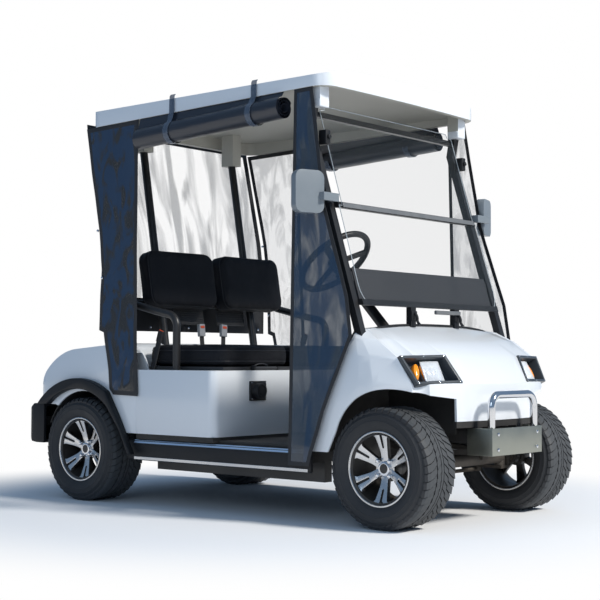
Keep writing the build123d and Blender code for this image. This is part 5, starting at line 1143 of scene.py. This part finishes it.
for side, label in SIDES:
    roll = grid_of("curtain_roll_" + label, 28, ROWS)
    for corner in roll.data.vertices:
        share_x = corner.co.x + 0.5
        row = (corner.co.y + 0.5) * ROWS
        axis = ROLL_REAR.lerp(ROLL_FRONT, share_x)
        out, up = roll_point(row, roofline(axis.x) - 0.001 - axis.z)
        slip = 0.0
        if row <= WIND_STEPS + 0.5:
            bulge = 1.0 + 0.03 * noise.fractal(Vector((axis.x * 5.0, side * 2.0, 0.3)), 0.9, 2.0, 2)
            out, up = out * bulge, up * bulge
            # Towards the ends the turns have slipped past each other.
            slip = 0.01 * sin(row * 0.11) * (1.0 if row < WIND_STEPS * 0.85 else 0.3)
        slip *= (share_x > 0.8) - (share_x < 0.2)
        corner.co = (axis.x + slip, side * (ROLL_Y + out), axis.z + up)
    smooth(changed(roll, "SOLIDIFY", thickness=0.0014, offset=0.0), 50.0)
    dressed(roll, roll_film, "curtain_roll", *(["curtain_rolls"] if side > 0 else []))
    for index, strap_x in enumerate((-0.218, 0.259)):
        axis_z = ROLL_REAR.lerp(ROLL_FRONT, (strap_x + 0.4275) / 0.84).z
        loop = [(0.547, 1.78), (0.5535, 1.772), (0.556, 1.75), (0.5565, roofline(strap_x) + 0.002)]
        for step in range(13):
            angle = radians(62.0 - step * 235.0 / 12)
            loop.append((ROLL_Y + STRAP_R * cos(angle), axis_z + STRAP_R * sin(angle)))
        strap = grid_of("roll_strap_%s_%d" % (label, index + 1), 2, len(loop) - 1)
        for corner in strap.data.vertices:
            out, up = loop[round((corner.co.y + 0.5) * (len(loop) - 1))]
            corner.co = (strap_x + corner.co.x * STRAP_WIDTH, side * out, up)
        smooth(changed(strap, "SOLIDIFY", thickness=FILM, offset=0.0), 60.0)
        dressed(strap, strap_smoke, "curtain_roll")

# ---- Bumpers ------------------------------------------------------------------------------
# A bent brushed-steel plate with a chromed hoop at the front, and a black moulded wrap-round
# bumper at the back. The plate's olive tint is a painted reflection.
# The olive cast in the steel's colours is a painted reflection.
brushed_steel_painted_olive = finish_of("brushed_steel_painted_olive", (0.33, 0.34, 0.29), (0.44, 0.45, 0.4), 0.34, 0.5, dust=(0.45, 0.25, DUST),
                          drift_scale=7.0, Metallic=1.0)
streaked(brushed_steel_painted_olive, (40.0, 3.0, 260.0), 4.0, 0.0, 0.22, 0.001)
shell("bumper_plate", "front_bumper", 0.0012, brushed_steel_painted_olive, "bright_steel")
chrome_tube = finish_of("chrome_tube", (0.66, 0.67, 0.69), (0.76, 0.77, 0.79), 0.08, 0.2, grain=(500.0, 0.05),
                        dust=(0.5, 0.12, DUST), drift_scale=12.0, Metallic=1.0)
shell("guard_hoop", "bumper_guard", 0.001, chrome_tube, "bright_steel")
shell("rear_wrap", "rear_bumper", 0.008, black_moulding, "black_trim")
bolts = studs("bumper_bolts", 0.0075, 0.005, [((1.164, y, z), FACING_X) for y in (-0.145, 0.145)
                                               for z in (0.295, 0.354)], 6, 0.001)
dressed(bolts, chrome_nut, "bright_steel")

# ---- Studio -------------------------------------------------------------------------------
# A plain white floor that runs out to a white surround, a broad key light from ahead and a
# cooler, weaker sky all round, so that the sides fall into a soft blue-grey shade.
loose()
bpy.ops.mesh.primitive_plane_add(size=60.0, location=(0, 0, 0))
floor = named("studio_floor")
floor_white = plain("floor_white", Base_Color=(0.9, 0.9, 0.9, 1.0), Roughness=0.9, Specular_IOR_Level=0.0)
weave(floor_white.node_tree, "place.Object > reach.0, reach.Value > near.Value, rays.Is Camera Ray > seen.0, "
      "rays.Is Transmission Ray > seen.1, seen.0 > seen_all.0, rays.Is Glossy Ray > seen_all.1, seen_all.0 > share.0, "
      "near.0 > share.1, share.0 > mix.0, shader.0 > mix.1, glow.0 > mix.2, mix.0 > output.Surface",
      glow=("Emission", dict(Strength=1.0)), place="TexCoord", reach=("VectorMath", dict(operation="LENGTH")),
      near=("MapRange", dict(interpolation_type="SMOOTHSTEP", From_Min=1.25, From_Max=2.3)), rays="LightPath",
      seen=("Math", dict(operation="MAXIMUM")), seen_all=("Math", dict(operation="MAXIMUM")),
      share=("Math", dict(operation="MULTIPLY")), mix="MixShader")
painted(floor, floor_white)
world = bpy.data.worlds.new("studio")
scene.world = world
world.use_nodes = True
studio = weave(world.node_tree, "rays.Is Camera Ray > seen.0, rays.Is Transmission Ray > seen.1, seen.0 > mix.0, "
               "sky.0 > mix.1, white.0 > mix.2, mix.0 > around.Surface",
               white=("Background", dict(Color=(1.0, 1.0, 1.0, 1.0), Strength=1.0)), rays="LightPath",
               seen=("Math", dict(operation="MAXIMUM")), mix="MixShader")
studio["sky"].inputs["Color"].default_value = (0.45, 0.67, 1.0, 1.0)
studio["sky"].inputs["Strength"].default_value = 0.38


def lamp_at(name, place, aim, energy, size, colour):
    """A round area lamp that shines from a place towards an aim."""
    data = bpy.data.lights.new(name, "AREA")
    data.energy = energy
    data.color = colour
    data.shape = "DISK"
    data.size = size
    light = bpy.data.objects.new(name, data)
    scene.collection.objects.link(light)
    away = (Vector(place) - Vector(aim)).normalized()
    light.matrix_world = Matrix.Translation(place) @ away.to_track_quat("Z", "Y").to_matrix().to_4x4()


lamp_at("key", (11.7, 2.3, 10.2), (0.2, 0, 0.8), 2350.0, 2.4, (1.0, 0.97, 0.92))
lamp_at("fill", (3.0, -6.0, 3.0), (0.2, 0, 0.7), 40.0, 3.0, (0.72, 0.86, 1.0))
